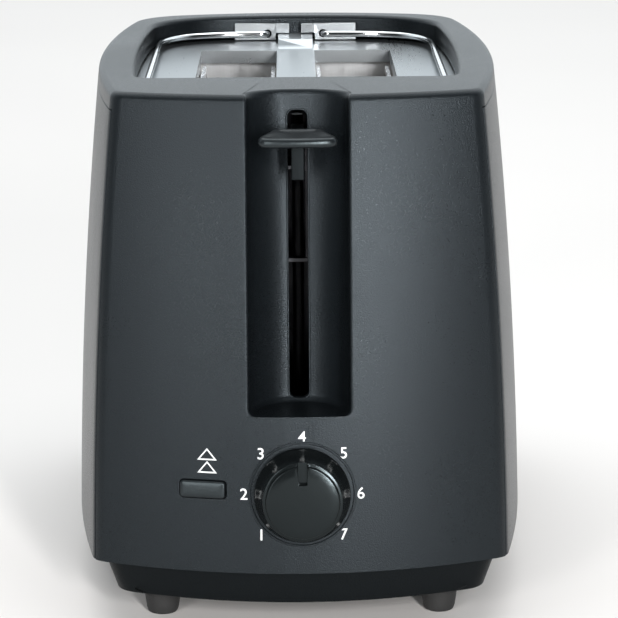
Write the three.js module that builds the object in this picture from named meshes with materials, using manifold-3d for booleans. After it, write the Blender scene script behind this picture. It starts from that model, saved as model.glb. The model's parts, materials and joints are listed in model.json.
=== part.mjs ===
// A two-slice pop-up toaster, built the way the real appliance is assembled.
// Units are millimetres, +Z is up, the controls face -Y, and the toaster stands on Z = 0.
import * as THREE from "three";
import { mergeVertices } from "three/addons/utils/BufferGeometryUtils.js";
import Module from "manifold-3d";

const wasm = await Module();
wasm.setup();

// ---------- Driving dimensions ----------

// Body envelope. The plan is a rectangle with bowed sides that shrinks as it rises.
const BODY_TOP = 187;
const SHELL_BOTTOM = 24;
const HALF_WIDTH = 72.5; // at the bottom corners
const HALF_LENGTH = 118.9; // at the bottom corners
const WIDTH_TAPER = 8.9; // how much the corner half width shrinks up to the top
const LENGTH_TAPER = 14.9;
const SIDE_BOW = 11.1; // how far the side walls stand out beyond the corners, at the bottom
const SIDE_BOW_TAPER = 1.4;
const END_BOW = 17.1; // how far the front and rear walls stand out beyond the corners
const END_BOW_TAPER = 5.8;
const LEAN_CURVE = 0.68; // 0 is a straight leaning wall, 1 a fully curved one
const CORNER_RADIUS = 5; // front corners
const REAR_CORNER_RADIUS = 14;
const TOP_EDGE_RADIUS = 4;
const WALL = 2.5;

// Clearances
const GAP = 0.3; // between pieces fixed to each other
const RUNNING = 0.4; // around anything that slides or turns
const PANEL_GAP = 0.4; // visible parting line round the side panels

// Side panels, let into the shell behind its corners
const PANEL_CORNER_STRIP = 3.2; // shell material left between panel and front corner
const PANEL_REAR_STRIP = 12;
const PANEL_TOP_STRIP = 6; // shell material left above the panel

// Opening in the top
const SIDE_RIM = 13.2;
const FRONT_RIM = 45.3;
const REAR_RIM = 12.3;
const OPENING_FRONT_CORNER = 9;
const OPENING_REAR_SWEEP = 0.5325; // share of the opening's half width taken by each rear corner
const TOP_WELL_DEPTH = 10;
const SKIRT_THICKNESS = 2;

// Lever recess in the front wall: a U-shaped channel that leans back with the wall
const RECESS_RADIUS = 17.3;
const RECESS_DEPTH_BOTTOM = 22.5; // from the wall's middle line back to the deepest line
const RECESS_DEPTH_TOP = 14.8;
const RECESS_WALL = 2.2;
const LEVER_SLOT_WIDTH = 6.7;
const LEVER_SLOT_TOP_MARGIN = 7; // from the body top down to the slot's upper end
const LEVER_SLOT_SPARE = 3.6; // slot left under the lever at its lowest
const RECESS_FLOOR_BELOW_SLOT = 1.2;

// Steel top plate and bread slots
const SHEET = 1;
const CENTRE_STRIP = 15;
const SLOT_SIDE_MARGIN = 22; // from the opening's side in to the slot's outer edge
const CHASSIS_FRONT_MARGIN = 4.5; // chassis plates measured from the opening's ends
const CHASSIS_REAR_MARGIN = 26;
const SLOT_FRONT_MARGIN = 5.5; // slot ends measured from the chassis plates
const SLOT_REAR_MARGIN = 7;
const SLOT_FLANGE = 4;
const REAR_TAB_HEIGHT = 3;

// Carriage
const LIFTER_BELOW_PLATE = 57; // bread lifter at rest, below the top plate
const LIFTER_LOWEST = 45;
const LIFTER_WIDTH = 8;
const LIFTER_THICKNESS = 2;
const LIFTER_ARM = 2;
const LEVER_TOP_BELOW_RIM = 11.8;
const LEVER_WIDTH = 26.8;
const LEVER_ROOT_WIDTH = 18;
const LEVER_REACH = 18;
const LEVER_THICKNESS = 3;
const LEVER_STEM_WIDTH = 4.5;
const LEVER_STEM_HEIGHT = 14;
const GUIDE_ROD_RADIUS = 2;
const GUIDE_ROD_STAND_OFF = 18; // rod axis in front of the chassis front plate
const BRACKET_SHEET = 1.5;

// Roll rack wires
const WIRE_RADIUS = 1.3;
const WIRE_RIM_CLEARANCE = 4.2;
const WIRE_HEIGHT = 3; // wire axis above the top plate
const RACK_PIVOT_OUT = 4; // pivots measured from the edge of the centre strip
const RACK_BRACKET_SHEET = 1.2;
const RACK_BRACKET_HEIGHT = 7;
const RACK_BRACKET_REACH = 0.2246; // outwards from the pivot, as a share of the opening's half width

// Bread guides, heater cards and reflectors
const GUIDE_SHEET = 1.4;
const GUIDE_BARS = 7;
const GUIDE_BOTTOM = 60;
const CARD_THICKNESS = 1;
const CARD_BOTTOM = 40;
const CARD_BELOW_PLATE = 14;
const ELEMENT_THICKNESS = 1.4;
const ELEMENT_PASSES = 7;
const CARD_BEYOND_SLOT = 6.5;
const REFLECTOR_BEYOND_SLOT = 12;

// Base pan, feet and crumb tray
const PAN_BOTTOM = 10.6;
const PAN_WALL = 2;
const PAN_INSET_TOP = 4.2; // the pan's top edge, in from the shell's corner
const PAN_INSET_BOTTOM = 8.6;
const PAN_LENGTH_INSET_TOP = 3.6;
const PAN_LENGTH_INSET_BOTTOM = 5.8;
const PAN_END_BOW = 14.5;
const PAN_SIDE_BOW = 10;
const PAN_FLANGE = 2.6;
const SHELF_THICKNESS = 4.4;
const FOOT_RADIUS_TOP = 7;
const FOOT_RADIUS_BOTTOM = 4.7;
const FOOT_IN_FROM_SIDE = 23.2;
const FOOT_IN_FROM_END = 15.4;
const FOOT_SCREW_RADIUS = 1.5;
const FOOT_SCREW_HEAD = 3;
const TRAY_INSIDE_FEET = 5.3; // tray edge measured from the middle of the feet
const TRAY_HEIGHT = 6;
const TRAY_SHEET = 0.8;
const TRAY_HANDLE_THICKNESS = 3;

// Controls on the front wall
const KNOB_X = 0.7;
const KNOB_HEIGHT = 52;
const KNOB_BASE_RADIUS = 16.5;
const KNOB_FACE_RADIUS = 12.4;
const KNOB_DEPTH = 13;
const KNOB_STAND_OFF = 0.6;
const POINTER_WIDTH = 2.9;
const POINTER_LENGTH = 7;
const SHAFT_RADIUS = 3;
const BUTTON_X = -33.5;
const BUTTON_HEIGHT = 53.2;
const BUTTON_LENGTH = 16;
const BUTTON_BREADTH = 6;
const BUTTON_PROUD = 1.2;
const BUTTON_TRAVEL = 2.5;
const BUTTON_FLANGE_CLEARANCE = 0.37;
const BOARD_BEHIND_WALL = 15.5; // control board's front face behind the wall's outer face
const BOARD_THICKNESS = 1.6;

// Cord gland, low on the rear wall
const GLAND_X = 40;
const GLAND_HEIGHT = 38;
const GLAND_RADIUS = 5.5;
const GLAND_BORE = 3.6;

// ---------- Sizes worked out from the driving dimensions ----------

const CUT = 5; // how far cutting shapes run past what they cut
const PLATE_TOP = BODY_TOP - TOP_WELL_DEPTH;
const PLATE_BOTTOM = PLATE_TOP - SHEET;
const TOP_END_Y = HALF_LENGTH - LENGTH_TAPER + END_BOW - END_BOW_TAPER;
const OPENING_HALF_WIDTH = HALF_WIDTH - WIDTH_TAPER + SIDE_BOW - SIDE_BOW_TAPER - SIDE_RIM;
const OPENING_FRONT = -(TOP_END_Y - FRONT_RIM);
const OPENING_REAR = TOP_END_Y - REAR_RIM;
const CHASSIS_FRONT = OPENING_FRONT + CHASSIS_FRONT_MARGIN;
const CHASSIS_REAR = OPENING_REAR - CHASSIS_REAR_MARGIN;
const SLOT_FRONT = CHASSIS_FRONT + SLOT_FRONT_MARGIN;
const SLOT_REAR = CHASSIS_REAR - SLOT_REAR_MARGIN;
const SLOT_INNER = CENTRE_STRIP / 2;
const SLOT_OUTER = OPENING_HALF_WIDTH - SLOT_SIDE_MARGIN;
const SLOT_MIDDLE = (SLOT_INNER + SLOT_OUTER) / 2;
const REFLECTOR_X = SLOT_OUTER + REFLECTOR_BEYOND_SLOT;
const CARD_X = SLOT_OUTER + CARD_BEYOND_SLOT;
const CHASSIS_HALF_WIDTH = REFLECTOR_X + SHEET + 1;
const LIFTER_REST = PLATE_TOP - LIFTER_BELOW_PLATE;
const CARRIAGE_TRAVEL = LIFTER_REST - LIFTER_LOWEST;
const LEVER_TOP = BODY_TOP - LEVER_TOP_BELOW_RIM;
const LEVER_BOTTOM = LEVER_TOP - LEVER_THICKNESS;
const STEM_BOTTOM = LEVER_BOTTOM - LEVER_STEM_HEIGHT;
const LEVER_SLOT_BOTTOM = STEM_BOTTOM - CARRIAGE_TRAVEL - LEVER_SLOT_SPARE;
const LEVER_SLOT_TOP = BODY_TOP - LEVER_SLOT_TOP_MARGIN;
const RECESS_FLOOR = LEVER_SLOT_BOTTOM - RECESS_FLOOR_BELOW_SLOT;
const ROD_Y = CHASSIS_FRONT - GUIDE_ROD_STAND_OFF;
const FLANGE_Z = SHELL_BOTTOM + 0.6;
const SHELF_TOP = FLANGE_Z + PAN_FLANGE;
const SHELF_BOTTOM = SHELF_TOP - SHELF_THICKNESS;
const TRAY_Z = PAN_BOTTOM + PAN_WALL + RUNNING;
const WIRE_Z = PLATE_TOP + WIRE_HEIGHT;
const REAR_TAB_TOP = PLATE_TOP + REAR_TAB_HEIGHT;
const RACK_PIVOT_X = CENTRE_STRIP / 2 + RACK_PIVOT_OUT;
const REAR_SWEEP = OPENING_REAR_SWEEP * OPENING_HALF_WIDTH;
const BRACKET_END_X = RACK_PIVOT_X + RACK_BRACKET_REACH * OPENING_HALF_WIDTH;
const FOOT_X = HALF_WIDTH - FOOT_IN_FROM_SIDE;
const TRAY_HALF_WIDTH = FOOT_X - TRAY_INSIDE_FEET;

// ---------- Geometry helpers ----------

function toSolid(geometry) {
  const bare = geometry.clone();
  bare.deleteAttribute("normal");
  bare.deleteAttribute("uv");
  const merged = mergeVertices(bare, 1e-4);
  return new wasm.Manifold(
    new wasm.Mesh({
      numProp: 3,
      vertProperties: merged.attributes.position.array,
      triVerts: new Uint32Array(merged.index.array),
    }),
  );
}

function toGeometry(solid) {
  const mesh = solid.getMesh();
  const geometry = new THREE.BufferGeometry();
  geometry.setAttribute("position", new THREE.BufferAttribute(mesh.vertProperties, mesh.numProp));
  geometry.setIndex(new THREE.BufferAttribute(mesh.triVerts, 1));
  geometry.computeVertexNormals();
  return geometry;
}

function boxGeometry(x, y, z) {
  const box = new THREE.BoxGeometry(x[1] - x[0], y[1] - y[0], z[1] - z[0]);
  return box.translate((x[0] + x[1]) / 2, (y[0] + y[1]) / 2, (z[0] + z[1]) / 2);
}

function box(x, y, z) {
  return toSolid(boxGeometry(x, y, z));
}

// Upright cylinder standing from low to high
function cylinderGeometry(radius, low, high, segments = 20) {
  const cylinder = new THREE.CylinderGeometry(radius, radius, high - low, segments);
  return cylinder.rotateX(Math.PI / 2).translate(0, 0, (low + high) / 2);
}

function extrudeUp(shape, low, high, curveSegments = 8) {
  const options = { depth: high - low, bevelEnabled: false, curveSegments };
  return new THREE.ExtrudeGeometry(shape, options).translate(0, 0, low);
}

// A shape drawn in X and Z, extruded along Y from low to high
function extrudeBack(shape, low, high, curveSegments = 8) {
  const options = { depth: high - low, bevelEnabled: false, curveSegments };
  return new THREE.ExtrudeGeometry(shape, options).rotateX(Math.PI / 2).translate(0, high, 0);
}

// A profile of [radius, height] pairs turned round Z
function turned(profile, segments) {
  const points = profile.map(([radius, height]) => new THREE.Vector2(radius, height));
  return new THREE.LatheGeometry(points, segments).rotateX(Math.PI / 2);
}

function roundedRectangle(width, height, radius) {
  const shape = new THREE.Shape();
  const x = width / 2;
  const y = height / 2;
  shape.moveTo(-x + radius, -y);
  shape.lineTo(x - radius, -y);
  shape.absarc(x - radius, -y + radius, radius, -Math.PI / 2, 0);
  shape.lineTo(x, y - radius);
  shape.absarc(x - radius, y - radius, radius, 0, Math.PI / 2);
  shape.lineTo(-x + radius, y);
  shape.absarc(-x + radius, y - radius, radius, Math.PI / 2, Math.PI);
  shape.lineTo(-x, -y + radius);
  shape.absarc(-x + radius, -y + radius, radius, Math.PI, Math.PI * 1.5);
  return shape;
}

// A closed body through a stack of convex rings, each running anticlockwise seen from above
function loft(rings) {
  const count = rings[0].length;
  const positions = rings.flat().flatMap((point) => point.toArray());
  const index = [];
  for (let ring = 0; ring < rings.length - 1; ring += 1) {
    for (let i = 0; i < count; i += 1) {
      const here = ring * count + i;
      const next = ring * count + ((i + 1) % count);
      index.push(here, next, next + count);
      index.push(here, next + count, here + count);
    }
  }
  const top = (rings.length - 1) * count;
  for (let i = 1; i < count - 1; i += 1) {
    index.push(0, i + 1, i);
    index.push(top, top + i, top + i + 1);
  }
  const geometry = new THREE.BufferGeometry();
  geometry.setAttribute("position", new THREE.Float32BufferAttribute(positions, 3));
  geometry.setIndex(index);
  return toSolid(geometry);
}

// ---------- The body's outline ----------

// Share of the full taper reached at a height
function lean(z) {
  const share = (z - SHELL_BOTTOM) / (BODY_TOP - SHELL_BOTTOM);
  return (1 - LEAN_CURVE) * share + LEAN_CURVE * share * share;
}

function planAt(z) {
  return {
    halfWidth: HALF_WIDTH - WIDTH_TAPER * lean(z),
    halfLength: HALF_LENGTH - LENGTH_TAPER * lean(z),
    sideBow: SIDE_BOW - SIDE_BOW_TAPER * lean(z),
    endBow: END_BOW - END_BOW_TAPER * lean(z),
  };
}

function inset(plan, amount) {
  const halfWidth = plan.halfWidth - amount;
  const halfLength = plan.halfLength - amount;
  return { ...plan, halfWidth, halfLength };
}

// How far the front and rear walls' outer faces stand from the middle of the body
function wallReach(x, z) {
  const plan = planAt(z);
  return plan.halfLength + plan.endBow * (1 - (x / plan.halfWidth) ** 2);
}

// Right-hand quarter of a plan, from the middle of the side towards the middle of the end
function quarterOutline(plan, cornerRadius) {
  const { halfWidth, halfLength, sideBow, endBow } = plan;
  const endY = (x) => halfLength + endBow * (1 - (x / halfWidth) ** 2);
  const sideX = (y) => halfWidth + sideBow * (1 - (y / halfLength) ** 2);
  const endStart = new THREE.Vector2(halfWidth - cornerRadius, endY(halfWidth - cornerRadius));
  const sideStart = new THREE.Vector2(sideX(halfLength - cornerRadius), halfLength - cornerRadius);
  const corner = new THREE.Vector2(halfWidth, halfLength);
  const curve = new THREE.QuadraticBezierCurve(sideStart, corner, endStart);
  const quarter = [new THREE.Vector2(sideX(0), 0)];
  quarter.push(new THREE.Vector2(sideX(sideStart.y / 2), sideStart.y / 2));
  quarter.push(...curve.getPoints(3));
  quarter.push(new THREE.Vector2((endStart.x * 2) / 3, endY((endStart.x * 2) / 3)));
  quarter.push(new THREE.Vector2(endStart.x / 3, endY(endStart.x / 3)));
  return quarter;
}

// One ring round a plan at height z. The corners are eased by a curve.
function outlineRing(plan, z) {
  const middle = new THREE.Vector2(0, plan.halfLength + plan.endBow);
  const halfRing = (cornerRadius) => {
    const right = quarterOutline(plan, cornerRadius);
    const left = right.slice(1).reverse();
    return [...right, middle, ...left.map((p) => new THREE.Vector2(-p.x, p.y))];
  };
  const rear = halfRing(REAR_CORNER_RADIUS);
  const front = halfRing(CORNER_RADIUS).map((p) => new THREE.Vector2(-p.x, -p.y));
  return [...rear, ...front].map((p) => new THREE.Vector3(p.x, p.y, z));
}

function levels(low, high, count) {
  return Array.from({ length: count + 1 }, (_, i) => low + ((high - low) * i) / count);
}

// The full body block, with its rounded top edge
function bodyBlock() {
  const rings = levels(SHELL_BOTTOM, BODY_TOP - TOP_EDGE_RADIUS, 6).map((z) => outlineRing(planAt(z), z));
  for (const angle of [30, 60, 90].map(THREE.MathUtils.degToRad)) {
    const z = BODY_TOP - TOP_EDGE_RADIUS * (1 - Math.sin(angle));
    const back = TOP_EDGE_RADIUS * (1 - Math.cos(angle));
    rings.push(outlineRing(inset(planAt(z), back), z));
  }
  return loft(rings);
}

// The same body taken in by an amount, between two heights
function innerBlock(amount, low, high, steps = 5) {
  return loft(levels(low, high, steps).map((z) => outlineRing(inset(planAt(z), amount), z)));
}

// The zone of a side wall that belongs to the side panel, for side +1 or -1
function panelZone(side, slack) {
  const top = BODY_TOP - PANEL_TOP_STRIP - slack;
  const rings = levels(SHELL_BOTTOM - CUT, top, 6).map((z) => {
    const plan = planAt(z);
    const near = plan.halfWidth - WALL - 1 + slack;
    const far = plan.halfWidth + plan.sideBow + CUT;
    const front = -(plan.halfLength - PANEL_CORNER_STRIP - slack);
    const rear = plan.halfLength - PANEL_REAR_STRIP - slack;
    const xs = side > 0 ? [near, far] : [-far, -near];
    const corners = [[xs[0], front], [xs[1], front], [xs[1], rear], [xs[0], rear]];
    return corners.map(([x, y]) => new THREE.Vector3(x, y, z));
  });
  return loft(rings);
}

// ---------- The lever recess ----------

// The recess leans with the wall: the middle of its round back passes through these depths
const RECESS_AXIS_BOTTOM = -(wallReach(0, RECESS_FLOOR) - RECESS_DEPTH_BOTTOM + RECESS_RADIUS);
const RECESS_AXIS_TOP = -(wallReach(0, BODY_TOP) - RECESS_DEPTH_TOP + RECESS_RADIUS);
const RECESS_SLOPE = (RECESS_AXIS_TOP - RECESS_AXIS_BOTTOM) / (BODY_TOP - RECESS_FLOOR);

function recessAxisY(z) {
  return RECESS_AXIS_BOTTOM + RECESS_SLOPE * (z - RECESS_FLOOR);
}

// A round back with parallel sides that run forwards through the wall
function recessBlock(radius, low, high) {
  const ringAt = (z) => {
    const back = Array.from({ length: 19 }, (_, i) => {
      const angle = (i / 18) * Math.PI;
      const x = radius * Math.cos(angle);
      return new THREE.Vector3(x, recessAxisY(z) + radius * Math.sin(angle), z);
    });
    const front = recessAxisY(z) - RECESS_RADIUS - CUT;
    return [...back, new THREE.Vector3(-radius, front, z), new THREE.Vector3(radius, front, z)];
  };
  return loft([ringAt(low), ringAt(high)]);
}

// ---------- Opening outline ----------

// Outline of the top opening, grown outwards by an amount
function openingShape(grow) {
  const side = OPENING_HALF_WIDTH + grow;
  const front = OPENING_FRONT - grow;
  const rear = OPENING_REAR + grow;
  const corner = OPENING_FRONT_CORNER + grow;
  const bow = 2.4;
  const shape = new THREE.Shape();
  const half = [
    [side - bow - corner, front],
    [side - bow, front + corner],
    [side - bow, rear - 31],
  ];
  shape.moveTo(-half[0][0], half[0][1]);
  shape.lineTo(half[0][0], half[0][1]);
  shape.quadraticCurveTo(side - bow, front, half[1][0], half[1][1]);
  shape.quadraticCurveTo(side + bow, (half[1][1] + half[2][1]) / 2, half[2][0], half[2][1]);
  const sweep = [REAR_SWEEP / 8, REAR_SWEEP / 2, REAR_SWEEP].map((share) => side - share);
  shape.bezierCurveTo(sweep[0], rear - 14, sweep[1], rear - 5, sweep[2], rear - 2);
  shape.quadraticCurveTo(0, rear + 2, -sweep[2], rear - 2);
  shape.bezierCurveTo(-sweep[1], rear - 5, -sweep[0], rear - 14, -half[2][0], half[2][1]);
  shape.quadraticCurveTo(-(side + bow), (half[1][1] + half[2][1]) / 2, -half[1][0], half[1][1]);
  shape.quadraticCurveTo(-(side - bow), front, -half[0][0], half[0][1]);
  return shape;
}

// ---------- Frames on the front wall ----------

const FRONT = -1;
const REAR = 1;

// A group whose local Z is the end wall's outward normal at (x, z), and whose local Y points up the wall
function wallFrame(end, x, z) {
  const step = 1;
  const across = (wallReach(x + step, z) - wallReach(x - step, z)) / (2 * step);
  const up = (wallReach(x, z + step) - wallReach(x, z - step)) / (2 * step);
  const normal = new THREE.Vector3(-across, end, -up).normalize();
  const upward = new THREE.Vector3(0, 0, 1).addScaledVector(normal, -normal.z).normalize();
  const sideways = new THREE.Vector3().crossVectors(upward, normal);
  const group = new THREE.Group();
  group.quaternion.setFromRotationMatrix(new THREE.Matrix4().makeBasis(sideways, upward, normal));
  group.position.set(x, end * wallReach(x, z), z);
  group.updateMatrixWorld(true);
  return group;
}

const knobFrame = wallFrame(FRONT, KNOB_X, KNOB_HEIGHT);
const buttonFrame = wallFrame(FRONT, BUTTON_X, BUTTON_HEIGHT);
const glandFrame = wallFrame(REAR, GLAND_X, GLAND_HEIGHT);

// ---------- Scene graph and materials ----------

const toaster = new THREE.Group();
toaster.add(knobFrame, buttonFrame, glandFrame);

const FINISHES = {
  shell: { color: 0x2b3034, roughness: 0.5, metalness: 0 },
  base: { color: 0x15181a, roughness: 0.55, metalness: 0 },
  control: { color: 0x17191b, roughness: 0.25, metalness: 0 },
  rubber: { color: 0x101112, roughness: 0.85, metalness: 0 },
  steel: { color: 0xb4b7b9, roughness: 0.35, metalness: 1 },
  chrome: { color: 0xd9dcde, roughness: 0.12, metalness: 1 },
  mica: { color: 0xb9a77c, roughness: 0.6, metalness: 0 },
  ribbon: { color: 0x7d7468, roughness: 0.45, metalness: 1 },
  board: { color: 0x1f5a3a, roughness: 0.5, metalness: 0 },
  component: { color: 0x26282b, roughness: 0.4, metalness: 0 },
  copper: { color: 0xb1693c, roughness: 0.35, metalness: 1 },
};

function addPart(name, shape, finish, parent = toaster) {
  const geometry = shape instanceof THREE.BufferGeometry ? shape : toGeometry(shape);
  const mesh = new THREE.Mesh(geometry, new THREE.MeshStandardMaterial(FINISHES[finish]));
  mesh.name = name;
  parent.add(mesh);
  return mesh;
}

// Which way a left or right piece is mirrored in X
const SIDES = { left: -1, right: 1 };

function span(a, b) {
  return a < b ? [a, b] : [b, a];
}

// ---------- Housing shell and side panels ----------

const body = bodyBlock();
const cavity = innerBlock(WALL, SHELL_BOTTOM - CUT, BODY_TOP - WALL);
const walls = body.subtract(cavity);

function leverSlot() {
  const width = LEVER_SLOT_WIDTH;
  const height = LEVER_SLOT_TOP - LEVER_SLOT_BOTTOM;
  const shape = roundedRectangle(width, height, width * 0.45);
  const slot = extrudeBack(shape, -HALF_LENGTH - END_BOW, RECESS_AXIS_TOP + RECESS_RADIUS + CUT, 4);
  return toSolid(slot.translate(0, 0, (LEVER_SLOT_TOP + LEVER_SLOT_BOTTOM) / 2));
}

// A cutter standing on a wall frame, from a depth behind the wall to in front of it
function wallCutter(frame, shape, behind, front) {
  const cutter = extrudeUp(shape, -behind, front, 6);
  return toSolid(cutter.applyMatrix4(frame.matrixWorld));
}

function circle(radius) {
  return new THREE.Shape().absarc(0, 0, radius, 0, Math.PI * 2);
}

function housingShell() {
  const channel = recessBlock(RECESS_RADIUS + RECESS_WALL, RECESS_FLOOR - RECESS_WALL, BODY_TOP + CUT);
  const skirtBlock = toSolid(extrudeUp(openingShape(SKIRT_THICKNESS), PLATE_TOP + 2, BODY_TOP - WALL / 2));
  const buttonHole = roundedRectangle(BUTTON_LENGTH + 2 * RUNNING, BUTTON_BREADTH + 2 * RUNNING, 1.4);
  return walls
    .add(channel.intersect(body))
    .add(skirtBlock)
    .subtract(recessBlock(RECESS_RADIUS, RECESS_FLOOR, BODY_TOP + CUT))
    .subtract(leverSlot())
    .subtract(toSolid(extrudeUp(openingShape(0), PLATE_TOP, BODY_TOP + CUT)))
    .subtract(wallCutter(knobFrame, circle(SHAFT_RADIUS + 1), WALL * 2, CUT))
    .subtract(wallCutter(buttonFrame, buttonHole, WALL * 2, CUT))
    .subtract(wallCutter(glandFrame, circle(GLAND_RADIUS), WALL * 3, CUT))
    .subtract(panelZone(1, 0))
    .subtract(panelZone(-1, 0));
}

addPart("housing_shell", housingShell(), "shell");
for (const [side, sign] of Object.entries(SIDES)) {
  addPart(`${side}_side_panel`, walls.intersect(panelZone(sign, PANEL_GAP)), "shell");
}

// ---------- Base pan, feet, screws ----------

function panPlan(z, taken = 0) {
  const share = (z - PAN_BOTTOM) / (SHELL_BOTTOM - PAN_BOTTOM);
  const widthInset = PAN_INSET_BOTTOM + (PAN_INSET_TOP - PAN_INSET_BOTTOM) * share + taken;
  const lengthInset = PAN_LENGTH_INSET_BOTTOM;
  const lengthInsetTop = PAN_LENGTH_INSET_TOP;
  return {
    halfWidth: HALF_WIDTH - widthInset,
    halfLength: HALF_LENGTH - (lengthInset + (lengthInsetTop - lengthInset) * share) - taken,
    sideBow: PAN_SIDE_BOW,
    endBow: PAN_END_BOW,
  };
}

function panBlock(low, high, taken) {
  return loft(levels(low, high, 2).map((z) => outlineRing(panPlan(z, taken), z)));
}

const footPlaces = [];
for (const [end, endSign] of [["front", -1], ["rear", 1]]) {
  for (const [side, sign] of Object.entries(SIDES)) {
    const x = sign * FOOT_X;
    const y = endSign * (HALF_LENGTH - FOOT_IN_FROM_END);
    footPlaces.push({ name: `${end}_${side}`, x, y });
  }
}

const BOSS_TOP = SHELF_BOTTOM - 1;

function basePan() {
  const inside = SHELL_BOTTOM + CUT;
  const flange = innerBlock(WALL + RUNNING, FLANGE_Z, SHELF_TOP, 1);
  let pan = panBlock(PAN_BOTTOM, FLANGE_Z + PAN_FLANGE / 2, 0).add(flange);
  pan = pan.subtract(panBlock(PAN_BOTTOM + PAN_WALL, inside, PAN_WALL));
  const reach = innerBlock(WALL + 1, FLANGE_Z - CUT, SHELF_TOP, 1);
  const shelfFront = CHASSIS_FRONT - 56;
  const width = [-HALF_WIDTH - SIDE_BOW, HALF_WIDTH + SIDE_BOW];
  const height = [SHELF_BOTTOM, SHELF_TOP];
  const panInside = panBlock(PAN_BOTTOM + PAN_WALL, inside, PAN_WALL / 2);
  for (const ends of [[shelfFront, CHASSIS_FRONT + 4], [CHASSIS_REAR - 4, CHASSIS_REAR + 5]]) {
    pan = pan.add(box(width, ends, height).intersect(reach).intersect(panInside));
  }
  for (const { x, y } of footPlaces) {
    const boss = cylinderGeometry(4, PAN_BOTTOM + PAN_WALL / 2, BOSS_TOP, 12);
    const bore = cylinderGeometry(FOOT_SCREW_RADIUS + GAP, PAN_BOTTOM - CUT, BOSS_TOP - 1.5, 10);
    pan = pan.add(toSolid(boss.translate(x, y, 0)));
    pan = pan.subtract(toSolid(bore.translate(x, y, 0)));
  }
  const mouthWidth = TRAY_HALF_WIDTH + RUNNING;
  const mouthHeight = [TRAY_Z - GAP, TRAY_Z + TRAY_HEIGHT + RUNNING];
  const mouth = box([-mouthWidth, mouthWidth], [HALF_LENGTH - 30, HALF_LENGTH + END_BOW], mouthHeight);
  pan = pan.subtract(mouth);
  for (const y of levels(-70, 70, 7)) {
    const vent = box([-25, 25], [y - 1.7, y + 1.7], [PAN_BOTTOM - CUT, PAN_BOTTOM + PAN_WALL + 0.2]);
    pan = pan.subtract(vent);
  }
  return pan;
}

addPart("base_pan", basePan(), "base");

for (const { name, x, y } of footPlaces) {
  const top = PAN_BOTTOM - GAP;
  const foot = turned(
    [
      [FOOT_SCREW_RADIUS + GAP, 3.8],
      [FOOT_SCREW_HEAD + GAP, 3.8],
      [FOOT_SCREW_HEAD + GAP, 0],
      [FOOT_RADIUS_BOTTOM, 0],
      [FOOT_RADIUS_BOTTOM + 0.8, 0.6],
      [FOOT_RADIUS_BOTTOM + 1.1, 1.6],
      [FOOT_RADIUS_TOP, top],
      [FOOT_SCREW_RADIUS + GAP, top],
      [FOOT_SCREW_RADIUS + GAP, 3.8],
    ],
    14,
  );
  addPart(`${name}_foot`, foot.translate(x, y, 0), "rubber");
  const screw = turned(
    [
      [0, 1.6],
      [FOOT_SCREW_HEAD - 0.8, 1.6],
      [FOOT_SCREW_HEAD, 2.2],
      [FOOT_SCREW_HEAD, 3.5],
      [FOOT_SCREW_RADIUS, 3.5],
      [FOOT_SCREW_RADIUS, BOSS_TOP - 3],
      [0, BOSS_TOP - 2],
    ],
    8,
  );
  addPart(`${name}_foot_screw`, screw.translate(x, y, 0), "steel");
}

// ---------- Crumb tray ----------

function crumbTray() {
  const front = CHASSIS_FRONT - 26;
  const rear = HALF_LENGTH - PAN_LENGTH_INSET_BOTTOM - 2;
  const side = TRAY_HALF_WIDTH;
  const outer = box([-side, side], [front, rear], [TRAY_Z, TRAY_Z + TRAY_HEIGHT - 1]);
  const inner = side - TRAY_SHEET;
  const hollow = box(
    [-inner, inner],
    [front + TRAY_SHEET, rear - TRAY_SHEET],
    [TRAY_Z + TRAY_SHEET, TRAY_Z + TRAY_HEIGHT + CUT],
  );
  return outer.subtract(hollow);
}

// A curved grip that closes the mouth in the pan's rear wall
function crumbTrayHandle() {
  const height = [TRAY_Z, TRAY_Z + TRAY_HEIGHT];
  const cutHeight = [height[0] - CUT, height[1] + CUT];
  const outer = height.map((z) => outlineRing(panPlan(z, -TRAY_HANDLE_THICKNESS), z));
  const inner = cutHeight.map((z) => outlineRing(panPlan(z, 0.5), z));
  const side = TRAY_HALF_WIDTH;
  const rearZone = box([-side, side], [HALF_LENGTH - 8, HALF_LENGTH + END_BOW + CUT], height);
  const lip = loft(outer).subtract(loft(inner)).intersect(rearZone);
  const neckStart = HALF_LENGTH - PAN_LENGTH_INSET_BOTTOM - 2 + GAP;
  const neck = box([-side, side], [neckStart, HALF_LENGTH + END_BOW], [TRAY_Z, TRAY_Z + 3]);
  return lip.add(neck.intersect(loft(outer)));
}

addPart("crumb_tray", crumbTray(), "steel");
addPart("crumb_tray_handle", crumbTrayHandle(), "base");

// ---------- Steel top plate ----------

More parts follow.
